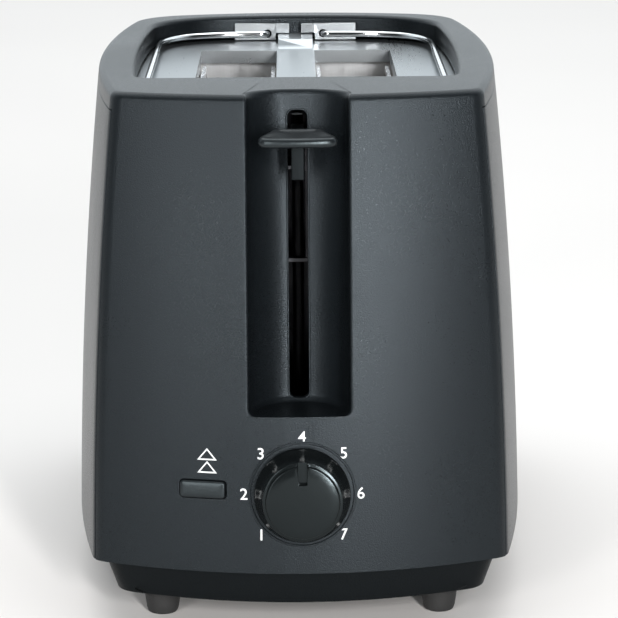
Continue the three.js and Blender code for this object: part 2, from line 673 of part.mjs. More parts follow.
function topPlate() {
  let plate = toSolid(extrudeUp(openingShape(3), PLATE_BOTTOM, PLATE_TOP));
  for (const sign of Object.values(SIDES)) {
    const outer = span(sign * (SLOT_INNER - SHEET), sign * (SLOT_OUTER + SHEET));
    const inner = span(sign * SLOT_INNER, sign * SLOT_OUTER);
    const flangeZ = [PLATE_BOTTOM - SLOT_FLANGE, PLATE_BOTTOM + SHEET / 2];
    plate = plate.add(box(outer, [SLOT_FRONT - SHEET, SLOT_REAR + SHEET], flangeZ));
    plate = plate.subtract(box(inner, [SLOT_FRONT, SLOT_REAR], [PLATE_BOTTOM - 3 * CUT, PLATE_TOP + CUT]));
  }
  const tabFront = SLOT_REAR + 4;
  const tab = new THREE.Shape();
  tab.moveTo(tabFront, PLATE_BOTTOM + SHEET / 2);
  tab.lineTo(OPENING_REAR - 1, PLATE_BOTTOM + SHEET / 2);
  tab.lineTo(OPENING_REAR - 1, REAR_TAB_TOP);
  tab.lineTo(tabFront + 8, REAR_TAB_TOP);
  const options = { depth: CENTRE_STRIP - 1, bevelEnabled: false };
  const wedge = new THREE.ExtrudeGeometry(tab, options).translate(0, 0, (1 - CENTRE_STRIP) / 2);
  wedge.applyMatrix4(new THREE.Matrix4().set(0, 0, 1, 0, 1, 0, 0, 0, 0, 1, 0, 0, 0, 0, 0, 1));
  return plate.add(toSolid(wedge));
}

addPart("top_plate", topPlate(), "steel");

// ---------- Chassis ----------

const CHASSIS_TOP = PLATE_BOTTOM - GAP;
const CHASSIS_BOTTOM = SHELF_TOP + GAP;
const ARM_WIDTH = LIFTER_ARM + 2 * RUNNING;

// A chassis end plate with a slot for each lifter arm
function chassisPlate(y) {
  const width = [-CHASSIS_HALF_WIDTH, CHASSIS_HALF_WIDTH];
  let plate = box(width, span(y, y + SHEET), [CHASSIS_BOTTOM, CHASSIS_TOP]);
  for (const sign of Object.values(SIDES)) {
    const middle = sign * SLOT_MIDDLE;
    const slotX = [middle - ARM_WIDTH / 2, middle + ARM_WIDTH / 2];
    const slotZ = [LIFTER_LOWEST - 10, LIFTER_REST + 3];
    plate = plate.subtract(box(slotX, [y - CUT, y + CUT], slotZ));
  }
  return plate;
}

addPart("chassis_front_plate", chassisPlate(CHASSIS_FRONT - SHEET), "steel");
addPart("chassis_rear_plate", chassisPlate(CHASSIS_REAR), "steel");

for (const [side, sign] of Object.entries(SIDES)) {
  const x = span(sign * REFLECTOR_X, sign * (REFLECTOR_X + SHEET));
  const y = [CHASSIS_FRONT + GAP, CHASSIS_REAR - GAP];
  addPart(`${side}_reflector`, boxGeometry(x, y, [CHASSIS_BOTTOM, CHASSIS_TOP]), "steel");
}

// ---------- Heater cards and their windings ----------

const CARD_Y = [CHASSIS_FRONT + 4, CHASSIS_REAR - 4];
const CARD_Z = [CARD_BOTTOM, PLATE_TOP - CARD_BELOW_PLATE];

const cards = [
  { name: "left", x: -CARD_X, faces: [{ name: "left", facing: 1 }] },
  {
    name: "centre",
    x: 0,
    faces: [
      { name: "centre_left", facing: -1 },
      { name: "centre_right", facing: 1 },
    ],
  },
  { name: "right", x: CARD_X, faces: [{ name: "right", facing: -1 }] },
];

// A ribbon that runs to and fro along the card, one closed band
function heatingElement(x) {
  const depth = [CARD_Y[0] + 6, CARD_Y[1] - 6];
  const pitch = (CARD_Z[1] - CARD_Z[0] - 16) / (ELEMENT_PASSES - 1);
  const band = 2.2;
  let ribbon = null;
  for (let pass = 0; pass < ELEMENT_PASSES; pass += 1) {
    const z = CARD_Z[0] + 8 + pass * pitch;
    const run = box(x, depth, [z - band / 2, z + band / 2]);
    ribbon = ribbon ? ribbon.add(run) : run;
    if (pass > 0) {
      const end = pass % 2 ? [depth[1] - band, depth[1]] : [depth[0], depth[0] + band];
      ribbon = ribbon.add(box(x, end, [z - pitch, z]));
    }
  }
  return ribbon;
}

for (const card of cards) {
  const x = [card.x - CARD_THICKNESS / 2, card.x + CARD_THICKNESS / 2];
  addPart(`${card.name}_heater_card`, boxGeometry(x, CARD_Y, CARD_Z), "mica");
  for (const face of card.faces) {
    const near = card.x + face.facing * (CARD_THICKNESS / 2 + GAP);
    const far = near + face.facing * ELEMENT_THICKNESS;
    addPart(`${face.name}_heating_element`, heatingElement(span(near, far)), "ribbon");
  }
}

// ---------- Bread guide cages ----------

const GUIDE_Y = [SLOT_FRONT + 3, SLOT_REAR - 3];
const GUIDE_TOP = PLATE_BOTTOM - SLOT_FLANGE - 0.8;

function breadGuide(x) {
  const rail = 2.4;
  let cage = box(x, GUIDE_Y, [GUIDE_BOTTOM, GUIDE_BOTTOM + rail]);
  cage = cage.add(box(x, GUIDE_Y, [GUIDE_TOP - rail, GUIDE_TOP]));
  const wire = GUIDE_SHEET;
  for (const y of levels(GUIDE_Y[0], GUIDE_Y[1] - wire, GUIDE_BARS - 1)) {
    cage = cage.add(box(x, [y, y + wire], [GUIDE_BOTTOM + rail / 2, GUIDE_TOP - rail / 2]));
  }
  return cage;
}

for (const [side, sign] of Object.entries(SIDES)) {
  const edge = 0.8;
  const inner = span(sign * (SLOT_INNER + edge), sign * (SLOT_INNER + edge + GUIDE_SHEET));
  const outer = span(sign * (SLOT_OUTER - edge), sign * (SLOT_OUTER - edge - GUIDE_SHEET));
  addPart(`${side}_inner_bread_guide`, breadGuide(inner), "steel");
  addPart(`${side}_outer_bread_guide`, breadGuide(outer), "steel");
}

// ---------- Carriage: bracket, lifters, lever, armature ----------

const CROSS_BAR_Y = [CHASSIS_FRONT - SHEET - 6, CHASSIS_FRONT - SHEET - 6 + BRACKET_SHEET];
const MAGNET_X = -SLOT_MIDDLE;
const ARM_INNER_X = LEVER_STEM_WIDTH / 2 + GAP;
const RECESS_BACK = (z) => recessAxisY(z) + RECESS_RADIUS + RECESS_WALL;
const STEM_REAR = ROD_Y - GUIDE_ROD_RADIUS - 3;
const SIDE_ARM_FRONT = RECESS_BACK(BODY_TOP) - 1;

function rodHole() {
  const hole = cylinderGeometry(GUIDE_ROD_RADIUS + RUNNING, 0, BODY_TOP, 14);
  return toSolid(hole.translate(0, ROD_Y, 0));
}

function carriageBracket() {
  const barHalf = SLOT_MIDDLE + 6;
  const lowFlange = [LIFTER_REST + 3.5, LIFTER_REST + 3.5 + BRACKET_SHEET];
  const highFlange = [STEM_BOTTOM - BRACKET_SHEET, STEM_BOTTOM];
  const sideArm = [ARM_INNER_X, ARM_INNER_X + BRACKET_SHEET];
  const rodZone = [ROD_Y - GUIDE_ROD_RADIUS - 2.5, CROSS_BAR_Y[1]];
  let bracket = box([-barHalf, barHalf], CROSS_BAR_Y, [LIFTER_REST - 8, lowFlange[1]]);
  bracket = bracket.add(box([-barHalf, sideArm[1]], rodZone, lowFlange));
  bracket = bracket.add(box([-7, sideArm[1]], rodZone, highFlange));
  bracket = bracket.add(box(sideArm, rodZone, [lowFlange[0], STEM_BOTTOM + 8]));
  bracket = bracket.add(box(sideArm, [SIDE_ARM_FRONT, CROSS_BAR_Y[1]], [STEM_BOTTOM, STEM_BOTTOM + 8]));
  return bracket.subtract(rodHole());
}

// A toothed rail with an arm at each end that runs through the chassis plates
function breadLifter(sign) {
  const middle = sign * SLOT_MIDDLE;
  const rail = [middle - LIFTER_WIDTH / 2, middle + LIFTER_WIDTH / 2];
  const arm = [middle - LIFTER_ARM / 2, middle + LIFTER_ARM / 2];
  const top = LIFTER_REST;
  const railY = [GUIDE_Y[0] + 1, GUIDE_Y[1] - 1];
  const armFront = CROSS_BAR_Y[1] + GAP;
  let lifter = box(rail, railY, [top - LIFTER_THICKNESS, top]);
  lifter = lifter.add(box(arm, [armFront, CHASSIS_REAR + 6], [top - 8, top - LIFTER_THICKNESS / 2]));
  for (const y of levels(railY[0] + 8, railY[1] - 11, 5)) {
    lifter = lifter.subtract(box([rail[0] - 1, middle - 2], [y, y + 4], [top - CUT, top + CUT]));
    lifter = lifter.subtract(box([middle + 2, rail[1] + 1], [y, y + 4], [top - CUT, top + CUT]));
  }
  return lifter;
}

// Lever paddle: a flared, round-edged plate on a stem that passes through the wall's slot
const LEVER_REAR = recessAxisY(LEVER_TOP - CARRIAGE_TRAVEL) + Math.sqrt(RECESS_RADIUS ** 2 - 81) - 0.8;

function leverPaddle() {
  const bevel = 1;
  const root = LEVER_ROOT_WIDTH / 2 - bevel;
  const half = LEVER_WIDTH / 2 - bevel;
  const rear = LEVER_REAR - bevel;
  const front = LEVER_REAR - LEVER_REACH + bevel;
  const flare = front + 5;
  const plan = new THREE.Shape();
  plan.moveTo(root, rear);
  plan.lineTo(-root, rear);
  plan.quadraticCurveTo(-half + 0.5, rear - 4, -half, flare);
  plan.quadraticCurveTo(-half, front + 1, -half + 4, front + 0.7);
  plan.quadraticCurveTo(0, front - 0.7, half - 4, front + 0.7);
  plan.quadraticCurveTo(half, front + 1, half, flare);
  plan.quadraticCurveTo(half - 0.5, rear - 4, root, rear);
  const depth = LEVER_THICKNESS - 2 * bevel;
  const options = { depth, bevelEnabled: true, bevelThickness: bevel, bevelSize: bevel, bevelSegments: 3 };
  const paddle = new THREE.ExtrudeGeometry(plan, { ...options, curveSegments: 6 });
  paddle.translate(0, 0, LEVER_BOTTOM + bevel);
  const stemX = [-LEVER_STEM_WIDTH / 2, LEVER_STEM_WIDTH / 2];
  const stem = box(stemX, [LEVER_REAR - 10, STEM_REAR], [STEM_BOTTOM + GAP, LEVER_BOTTOM + bevel]);
  return toSolid(paddle).add(stem);
}

addPart("carriage_bracket", carriageBracket(), "steel");
for (const [side, sign] of Object.entries(SIDES)) {
  addPart(`${side}_bread_lifter`, breadLifter(sign), "steel");
}
addPart("lever_knob", leverPaddle(), "control");

const MAGNET_Y = [ROD_Y - 9, ROD_Y + 9];
const ARMATURE_Z = [LIFTER_REST + 0.5, LIFTER_REST + 3.2];
const MAGNET_TOP = ARMATURE_Z[0] - CARRIAGE_TRAVEL - GAP;
const armatureX = [MAGNET_X - 7, MAGNET_X + 7];
const armatureY = [MAGNET_Y[0] + 6.5, CROSS_BAR_Y[0] - GAP];
addPart("armature_plate", boxGeometry(armatureX, armatureY, ARMATURE_Z), "steel");

// ---------- Guide rod, return spring, electromagnet ----------

const rod = cylinderGeometry(GUIDE_ROD_RADIUS, SHELF_TOP + GAP, CHASSIS_TOP, 14);
addPart("guide_rod", rod.translate(0, ROD_Y, 0), "chrome");

const SPRING_X = -12;
const SPRING_TOP = PLATE_BOTTOM - 6;
const SPRING_BOTTOM = LIFTER_REST + 3.5 + BRACKET_SHEET + GAP;
const SPRING_COIL_RADIUS = 3;
const SPRING_WIRE_RADIUS = 0.5;
const SPRING_TURNS = 8;

class Coil extends THREE.Curve {
  getPoint(t, target = new THREE.Vector3()) {
    const angle = t * SPRING_TURNS * Math.PI * 2;
    const low = SPRING_BOTTOM + SPRING_WIRE_RADIUS;
    const rise = SPRING_TOP - SPRING_WIRE_RADIUS - low;
    const radius = SPRING_COIL_RADIUS;
    return target.set(radius * Math.cos(angle), radius * Math.sin(angle), low + rise * t);
  }
}

const coilOptions = { steps: SPRING_TURNS * 8, bevelEnabled: false, extrudePath: new Coil() };
const coilSection = new THREE.Shape(
  Array.from({ length: 4 }, (_, i) => {
    const angle = (i / 4) * Math.PI * 2;
    return new THREE.Vector2(SPRING_WIRE_RADIUS * Math.cos(angle), SPRING_WIRE_RADIUS * Math.sin(angle));
  }),
);
const spring = new THREE.ExtrudeGeometry(coilSection, coilOptions);
addPart("carriage_spring", spring.translate(SPRING_X, ROD_Y + 2, 0), "steel");

// A small angle on the chassis front plate that the spring's upper end hooks to
const anchorY = [ROD_Y - 3, CHASSIS_FRONT - SHEET - GAP];
const anchorLedge = box([SPRING_X - 5, SPRING_X + 5], anchorY, [SPRING_TOP + GAP, SPRING_TOP + GAP + 1.5]);
const anchorBack = box(
  [SPRING_X - 5, SPRING_X + 5],
  [anchorY[1] - 1.5, anchorY[1]],
  [SPRING_TOP - 8, SPRING_TOP + GAP + 1.5],
);
addPart("spring_anchor", anchorLedge.add(anchorBack), "steel");

function magnetYoke() {
  const height = [SHELF_TOP + GAP, MAGNET_TOP];
  const outer = box([MAGNET_X - 9, MAGNET_X + 9], [ROD_Y - 2.5, ROD_Y + 5.5], height);
  const windows = [[-6.2, -3], [3, 6.2]].map(([a, b]) =>
    box([MAGNET_X + a, MAGNET_X + b], [ROD_Y - CUT, ROD_Y + 2 * CUT], [height[0] + 3, height[1] + CUT]),
  );
  return outer.subtract(windows[0]).subtract(windows[1]);
}

function magnetCoil() {
  const height = [SHELF_TOP + GAP + 3 + GAP, MAGNET_TOP - 2];
  const outer = box([MAGNET_X - 5.6, MAGNET_X + 5.6], [ROD_Y - 5.2, ROD_Y + 8.2], height);
  const hole = box([MAGNET_X - 3.4, MAGNET_X + 3.4], [ROD_Y - 2.9, ROD_Y + 5.9], [0, BODY_TOP]);
  return outer.subtract(hole);
}

addPart("electromagnet_core", magnetYoke(), "steel");
addPart("electromagnet_coil", magnetCoil(), "copper");

// ---------- Control board, potentiometer, cancel switch ----------

const BOARD_FRONT = -(wallReach(KNOB_X, KNOB_HEIGHT) - BOARD_BEHIND_WALL);
const BOARD_TOP = RECESS_FLOOR - RECESS_WALL - 3;
const boardY = [BOARD_FRONT, BOARD_FRONT + BOARD_THICKNESS];
addPart("control_board", boxGeometry([-46, 46], boardY, [SHELF_TOP + GAP, BOARD_TOP]), "board");

const POT_DEPTH = [-BOARD_BEHIND_WALL + 1.2, -WALL - 3];
const potBody = extrudeUp(roundedRectangle(17, 17, 2), POT_DEPTH[0], POT_DEPTH[1], 2);
addPart("potentiometer_body", potBody, "component", knobFrame);

const SHAFT_END = KNOB_STAND_OFF + KNOB_DEPTH - 4;
const shaft = cylinderGeometry(SHAFT_RADIUS, POT_DEPTH[1] + GAP, SHAFT_END, 16);
addPart("potentiometer_shaft", shaft, "steel", knobFrame);

function browningKnob() {
  const bore = SHAFT_RADIUS + GAP;
  const face = KNOB_STAND_OFF + KNOB_DEPTH;
  const profile = [
    [0, SHAFT_END + GAP],
    [bore, SHAFT_END + GAP],
    [bore, KNOB_STAND_OFF],
    [KNOB_BASE_RADIUS - 0.4, KNOB_STAND_OFF],
    [KNOB_BASE_RADIUS, KNOB_STAND_OFF + 0.6],
    [KNOB_BASE_RADIUS - 1.6, KNOB_STAND_OFF + 4],
    [KNOB_FACE_RADIUS + 1.6, face - 4],
    [KNOB_FACE_RADIUS + 1.2, face - 1.2],
    [KNOB_FACE_RADIUS, face - 0.2],
    [0, face],
  ];
  const pointer = box(
    [-POINTER_WIDTH / 2, POINTER_WIDTH / 2],
    [KNOB_FACE_RADIUS + 2 - POINTER_LENGTH, KNOB_BASE_RADIUS],
    [face - 1.6, face + CUT],
  );
  return toSolid(turned(profile, 40)).subtract(pointer);
}

addPart("browning_knob", browningKnob(), "control", knobFrame);

const WALL_FALL = END_BOW * (BUTTON_LENGTH / HALF_WIDTH) ** 2; // of the curved wall along the button
const BUTTON_FLANGE_FRONT = -WALL - BUTTON_FLANGE_CLEARANCE - WALL_FALL;
const BUTTON_STEM_END = -6.2;

function cancelButton() {
  const capShape = roundedRectangle(BUTTON_LENGTH, BUTTON_BREADTH, 1.2);
  const cap = extrudeUp(capShape, BUTTON_FLANGE_FRONT - 1, BUTTON_PROUD, 3);
  const flangeShape = roundedRectangle(BUTTON_LENGTH + 3, BUTTON_BREADTH + 3, 1.5);
  const flange = extrudeUp(flangeShape, BUTTON_FLANGE_FRONT - 1, BUTTON_FLANGE_FRONT, 2);
  const stem = cylinderGeometry(1.4, BUTTON_STEM_END, BUTTON_FLANGE_FRONT - 0.5, 10);
  return toSolid(cap).add(toSolid(flange)).add(toSolid(stem));
}

addPart("cancel_button", cancelButton(), "control", buttonFrame);

const stemTip = new THREE.Vector3(0, 0, BUTTON_STEM_END).applyMatrix4(buttonFrame.matrixWorld);
const switchY = [stemTip.y + BUTTON_TRAVEL + 2 * RUNNING, BOARD_FRONT - GAP];
const switchX = [stemTip.x - 2.5, stemTip.x + 3.5];
const switchZ = [stemTip.z - 3, stemTip.z + 3];
addPart("cancel_switch", boxGeometry(switchX, switchY, switchZ), "component");

// ---------- Roll rack: two swinging wires and their hinge brackets ----------

const WIRE_END_REAR = OPENING_REAR - 1;
const WIRE_RUN_REAR = OPENING_REAR - 5.4;
const WIRE_RUN_FRONT = CHASSIS_FRONT + 2;
const WIRE_SIDE_X = OPENING_HALF_WIDTH - 1 - WIRE_RIM_CLEARANCE;
const BRACKET_FRONT_Y = WIRE_RUN_FRONT - WIRE_RADIUS - 0.5 - RACK_BRACKET_SHEET;
const BRACKET_REAR_Y = WIRE_RUN_REAR + WIRE_RADIUS + 0.5;

// Half of the wire's path is drawn for the right side and mirrored for the left
function rackPath(sign) {
  const at = (x, y) => new THREE.Vector3(sign * x, y, WIRE_Z);
  const path = new THREE.CurvePath();
  const straight = (from, to) => path.add(new THREE.LineCurve3(from, to));
  const bend = (from, via, to) => path.add(new THREE.QuadraticBezierCurve3(from, via, to));
  const pivot = RACK_PIVOT_X;
  const side = WIRE_SIDE_X;
  const turn = 3.2;
  straight(at(pivot, BRACKET_FRONT_Y - 1.4), at(pivot, WIRE_RUN_FRONT - turn));
  bend(at(pivot, WIRE_RUN_FRONT - turn), at(pivot, WIRE_RUN_FRONT), at(pivot + turn, WIRE_RUN_FRONT));
  straight(at(pivot + turn, WIRE_RUN_FRONT), at(side - 9, WIRE_RUN_FRONT));
  bend(at(side - 9, WIRE_RUN_FRONT), at(side, WIRE_RUN_FRONT), at(side, WIRE_RUN_FRONT + 12));
  straight(at(side, WIRE_RUN_FRONT + 12), at(side, OPENING_REAR - 38));
  const corner = at(side - REAR_SWEEP / 2, OPENING_REAR - 9.5);
  bend(at(side, OPENING_REAR - 38), at(side - REAR_SWEEP / 32, OPENING_REAR - 15), corner);
  bend(corner, at(side - REAR_SWEEP * 0.8, WIRE_RUN_REAR), at(pivot + turn, WIRE_RUN_REAR));
  bend(at(pivot + turn, WIRE_RUN_REAR), at(pivot, WIRE_RUN_REAR), at(pivot, WIRE_RUN_REAR + turn));
  straight(at(pivot, WIRE_RUN_REAR + turn), at(pivot, WIRE_END_REAR));
  return path;
}

// The path is followed by points a set distance apart, closer together in the tight bends
function rackWire(sign) {
  const path = rackPath(sign);
  const points = path.curves.flatMap((curve, i) => {
    const pieces = curve instanceof THREE.LineCurve3 ? 1 : 5;
    return curve.getPoints(pieces).slice(i ? 1 : 0);
  });
  const sides = 8;
  const rings = points.map((point, i) => {
    const before = points[Math.max(i - 1, 0)];
    const after = points[Math.min(i + 1, points.length - 1)];
    const forward = after.clone().sub(before).normalize();
    const across = new THREE.Vector3(-forward.y, forward.x, 0);
    return Array.from({ length: sides }, (_, k) => {
      const angle = (k / sides) * Math.PI * 2;
      return point
        .clone()
        .addScaledVector(across, WIRE_RADIUS * Math.cos(angle))
        .add(new THREE.Vector3(0, 0, WIRE_RADIUS * Math.sin(angle)));
    });
  });
  return loft(rings);
}

// An upright tab with a hole for the wire's end, and an arm bent towards the middle
function rackBracket(sign, y, bendY) {
  const height = [PLATE_TOP + GAP, PLATE_TOP + GAP + RACK_BRACKET_HEIGHT];
  const sheet = RACK_BRACKET_SHEET;
  const plan = new THREE.Shape();
  plan.moveTo(sign * BRACKET_END_X, y);
  plan.lineTo(sign * BRACKET_END_X, y + sheet);
  plan.lineTo(sign * (RACK_PIVOT_X - 3.5), y + sheet);
  plan.lineTo(sign * (RACK_PIVOT_X - 9), y + bendY + sheet);
  plan.lineTo(sign * (RACK_PIVOT_X - 9), y + bendY);
  plan.lineTo(sign * (RACK_PIVOT_X - 3.5), y);
  const blank = toSolid(extrudeUp(plan, height[0], height[1]));
  const hole = cylinderGeometry(WIRE_RADIUS + RUNNING, y - CUT, y + CUT, 12);
  hole.rotateX(-Math.PI / 2);
  const armX = RACK_PIVOT_X - 3.5;
  const underArm = box([-armX, armX], [y - CUT, y + CUT], [PLATE_TOP, REAR_TAB_TOP + GAP]);
  return blank.subtract(underArm).subtract(toSolid(hole.translate(sign * RACK_PIVOT_X, 0, WIRE_Z)));
}

for (const [side, sign] of Object.entries(SIDES)) {
  addPart(`${side}_rack_wire`, rackWire(sign), "chrome");
  addPart(`${side}_rear_rack_bracket`, rackBracket(sign, BRACKET_REAR_Y, -1.5), "steel");
  addPart(`${side}_front_rack_bracket`, rackBracket(sign, BRACKET_FRONT_Y, 1.5), "steel");
}

// ---------- Cord gland ----------

const gland = turned(
  [
    [GLAND_BORE, -WALL - 3],
    [GLAND_RADIUS - 1, -WALL - 3],
    [GLAND_RADIUS - 1, 0.8],
    [GLAND_RADIUS + 1.5, 0.8],
    [GLAND_RADIUS + 1.2, 3],
    [GLAND_BORE + 0.6, 4],
    [GLAND_BORE, 4],
    [GLAND_BORE, -WALL - 3],
  ],
  20,
);
addPart("cord_gland", gland, "rubber", glandFrame);

// ---------- Origin at the middle of the footprint's bounding box ----------

const envelope = new THREE.Box3().setFromObject(toaster, true);
const middle = envelope.getCenter(new THREE.Vector3());
toaster.position.set(-middle.x, -middle.y, -envelope.min.z);

export default toaster;
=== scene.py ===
import bmesh
import bpy
import json
from math import asin, cos, pi, radians, sin, sqrt
from mathutils import Matrix, Vector


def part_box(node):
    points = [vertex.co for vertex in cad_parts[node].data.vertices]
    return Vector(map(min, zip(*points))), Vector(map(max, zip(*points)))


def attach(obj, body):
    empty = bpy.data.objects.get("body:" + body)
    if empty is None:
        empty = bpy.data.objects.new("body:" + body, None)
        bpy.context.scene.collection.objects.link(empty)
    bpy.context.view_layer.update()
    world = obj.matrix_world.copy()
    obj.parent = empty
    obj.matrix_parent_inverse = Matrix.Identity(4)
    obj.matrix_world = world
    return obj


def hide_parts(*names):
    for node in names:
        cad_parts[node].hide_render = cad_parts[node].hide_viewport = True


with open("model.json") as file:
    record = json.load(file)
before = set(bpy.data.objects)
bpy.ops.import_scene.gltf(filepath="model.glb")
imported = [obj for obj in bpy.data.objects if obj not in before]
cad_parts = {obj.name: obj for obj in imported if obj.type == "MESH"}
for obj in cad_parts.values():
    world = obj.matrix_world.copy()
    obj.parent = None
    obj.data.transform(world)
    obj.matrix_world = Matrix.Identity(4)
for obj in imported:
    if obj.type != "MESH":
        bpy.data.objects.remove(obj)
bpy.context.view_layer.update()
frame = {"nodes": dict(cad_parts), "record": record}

# ---------------------------------------------------------------------------
# The studio: a pale floor under soft light, seen from a little above the
# front. The floor is painted board, faintly uneven.
# ---------------------------------------------------------------------------
MM = 0.001
scene = bpy.context.scene
scene.view_settings.view_transform = "Standard"

camera = bpy.data.objects.new("camera", bpy.data.cameras.new("camera"))
scene.collection.objects.link(camera)
camera.data.sensor_width = 36
camera.data.lens = 161.94
camera.data.clip_start, camera.data.clip_end = 0.05, 60
camera_place = Vector((-2.748, -1041.559, 330.225)) * MM
heading, dip, tilt = 0.0067, 0.229, -0.0068
aim = Matrix.Rotation(-heading, 4, "Z") @ Matrix.Rotation(pi / 2 - dip, 4, "X")
aim = aim @ Matrix.Rotation(tilt, 4, "Z")
camera.matrix_world = Matrix.Translation(camera_place) @ aim
scene.camera = camera


def softbox(name, place, wide, tall, watts, look_at=(0, 0, 0.09)):
    """A soft lamp at a place, turned to look at a point."""
    lamp = bpy.data.lights.new(name, "AREA")
    lamp.shape = "RECTANGLE"
    lamp.size, lamp.size_y, lamp.energy = wide, tall, watts
    holder = bpy.data.objects.new(name, lamp)
    scene.collection.objects.link(holder)
    holder.location = place
    holder.rotation_euler = (Vector(look_at) - Vector(place)).to_track_quat("-Z", "Y").to_euler()


softbox("overhead", (0, 0.8, 2.5), 2.4, 3.8, 48, look_at=(0, 0.9, 0))
softbox("front_right", (0.46, -1.75, 0.46), 0.16, 0.8, 38)
softbox("front_left", (-0.74, -1.5, 0.46), 0.3, 0.8, 12.5)

world = bpy.data.worlds.new("studio_walls")
scene.world = world
world.use_nodes = True
walls = world.node_tree
direction = walls.nodes.new("ShaderNodeTexCoord")
axes = walls.nodes.new("ShaderNodeSeparateXYZ")
depth = walls.nodes.new("ShaderNodeMapRange")
for socket, value in (("From Min", -0.4), ("From Max", 0.5), ("To Min", 0.03), ("To Max", 1.2)):
    depth.inputs[socket].default_value = value
walls.links.new(direction.outputs["Generated"], axes.inputs[0])
walls.links.new(axes.outputs["Y"], depth.inputs["Value"])
walls.links.new(depth.outputs[0], walls.nodes["Background"].inputs["Strength"])
walls.nodes["Background"].inputs["Color"].default_value = (0.88, 0.955, 1, 1)


def link(tree, source, target):
    """Joins an output to an input."""
    tree.links.new(source, target)


def node(tree, kind, **settings):
    """Adds a node; a setting names one of its properties or, failing that, an input."""
    made = tree.nodes.new(kind)
    for key, value in settings.items():
        name = key.replace("_", " ")
        if hasattr(made, key):
            setattr(made, key, value)
        elif hasattr(value, "is_output"):
            tree.links.new(value, made.inputs[name])
        else:
            made.inputs[name].default_value = value
    return made


def blend_of(tree, factor, low, high):
    """A colour between two, by a factor."""
    mixer = tree.nodes.new("ShaderNodeMix")
    mixer.data_type = "RGBA"
    for socket, value in zip((0, 6, 7), (factor, low, high)):
        if hasattr(value, "is_output"):
            tree.links.new(value, mixer.inputs[socket])
        else:
            mixer.inputs[socket].default_value = value
    return mixer.outputs[2]


def new_finish(name):
    """A material, its node tree, its shader and the piece's own coordinates."""
    made = bpy.data.materials.new(name)
    made.use_nodes = True
    tree = made.node_tree
    return made, tree, tree.nodes["Principled BSDF"], tree.nodes.new("ShaderNodeTexCoord").outputs["Object"]


board_paint, tree, shader, place = new_finish("floor_paint")
mottle = node(tree, "ShaderNodeTexNoise", Vector=place, Scale=3.0, Detail=2.0)
paint = blend_of(tree, mottle.outputs[0], (0.835, 0.8, 0.775, 1), (0.865, 0.83, 0.805, 1))
link(tree, paint, shader.inputs["Base Color"])
shader.inputs["Roughness"].default_value = 0.75
bm = bmesh.new()
bmesh.ops.create_grid(bm, x_segments=8, y_segments=8, size=9)
floor_mesh = bpy.data.meshes.new("floor")
bm.to_mesh(floor_mesh)
bm.free()
floor = bpy.data.objects.new("floor", floor_mesh)
scene.collection.objects.link(floor)
floor_mesh.materials.append(board_paint)

# ---------------------------------------------------------------------------
# Base pan: a black polypropylene tray that the whole toaster is built on. It
# is moulded in one, tapers down to its underside, and is vented below.
# ---------------------------------------------------------------------------
SHELL_BOTTOM, BODY_TOP = 24, 187
HALF_WIDTH, HALF_LENGTH = 72.5, 118.9
MIDDLE_Y = 6.3408  # the body's middle stands this far behind the frame's origin
PAN_BOTTOM, PAN_WALL, PAN_EDGE = 10.6, 2, 0.7
PAN_SIDE_INSETS, PAN_END_INSETS = (8.6, 4.2), (5.8, 3.6)
PAN_SIDE_BOW, PAN_END_BOW = 10, 14.5
PAN_CORNERS = (5, 14)


def surface_effect(name, inputs, build):
    """A shader group: build(tree, sockets) returns the colour, roughness and height it puts out."""
    group = bpy.data.node_groups.new(name, "ShaderNodeTree")
    kinds = {"Place": "NodeSocketVector", "Colour": "NodeSocketColor", "Shade": "NodeSocketColor"}
    for socket in ["Place", "Colour", "Shade", *inputs]:
        group.interface.new_socket(socket, in_out="INPUT", socket_type=kinds.get(socket, "NodeSocketFloat"))
    for socket, kind in (("Colour", "Color"), ("Roughness", "Float"), ("Normal", "Vector")):
        group.interface.new_socket(socket, in_out="OUTPUT", socket_type="NodeSocket" + kind)
    given = group.nodes.new("NodeGroupInput").outputs
    result = group.nodes.new("NodeGroupOutput").inputs
    colour, roughness, height = build(group, given)
    relief = node(group, "ShaderNodeBump", Height=height, Distance=given["Depth"])
    link(group, colour, result["Colour"])
    link(group, roughness, result["Roughness"])
    link(group, relief.outputs[0], result["Normal"])
    return group


def grain(tree, given):
    """Spark-eroded mould grain: fine specks, and broad patches that shine a little more."""
    fine = node(tree, "ShaderNodeTexNoise", Vector=given["Place"], Scale=given["Grain"], Detail=3.0)
    fine.inputs["Roughness"].default_value = 0.62
    broad = node(tree, "ShaderNodeTexNoise", Vector=given["Place"], Scale=given["Patches"], Detail=2.0)
    speck = node(tree, "ShaderNodeMapRange", Value=fine.outputs[0])
    speck.inputs["From Min"].default_value = 0.34
    speck.inputs["From Max"].default_value = 0.66
    both = node(tree, "ShaderNodeMath", operation="MULTIPLY_ADD")
    link(tree, speck.outputs[0], both.inputs[0])
    both.inputs[1].default_value = 0.7
    link(tree, broad.outputs[0], both.inputs[2])
    shine = node(tree, "ShaderNodeMapRange", Value=both.outputs[0])
    shine.inputs["From Max"].default_value = 1.4
    link(tree, given["Smoothest"], shine.inputs["To Min"])
    link(tree, given["Roughest"], shine.inputs["To Max"])
    colour = blend_of(tree, speck.outputs[0], given["Shade"], given["Colour"])
    return colour, shine.outputs[0], speck.outputs[0]


moulded_grain = surface_effect("moulded_grain", ["Grain", "Patches", "Smoothest", "Roughest", "Depth"], grain)


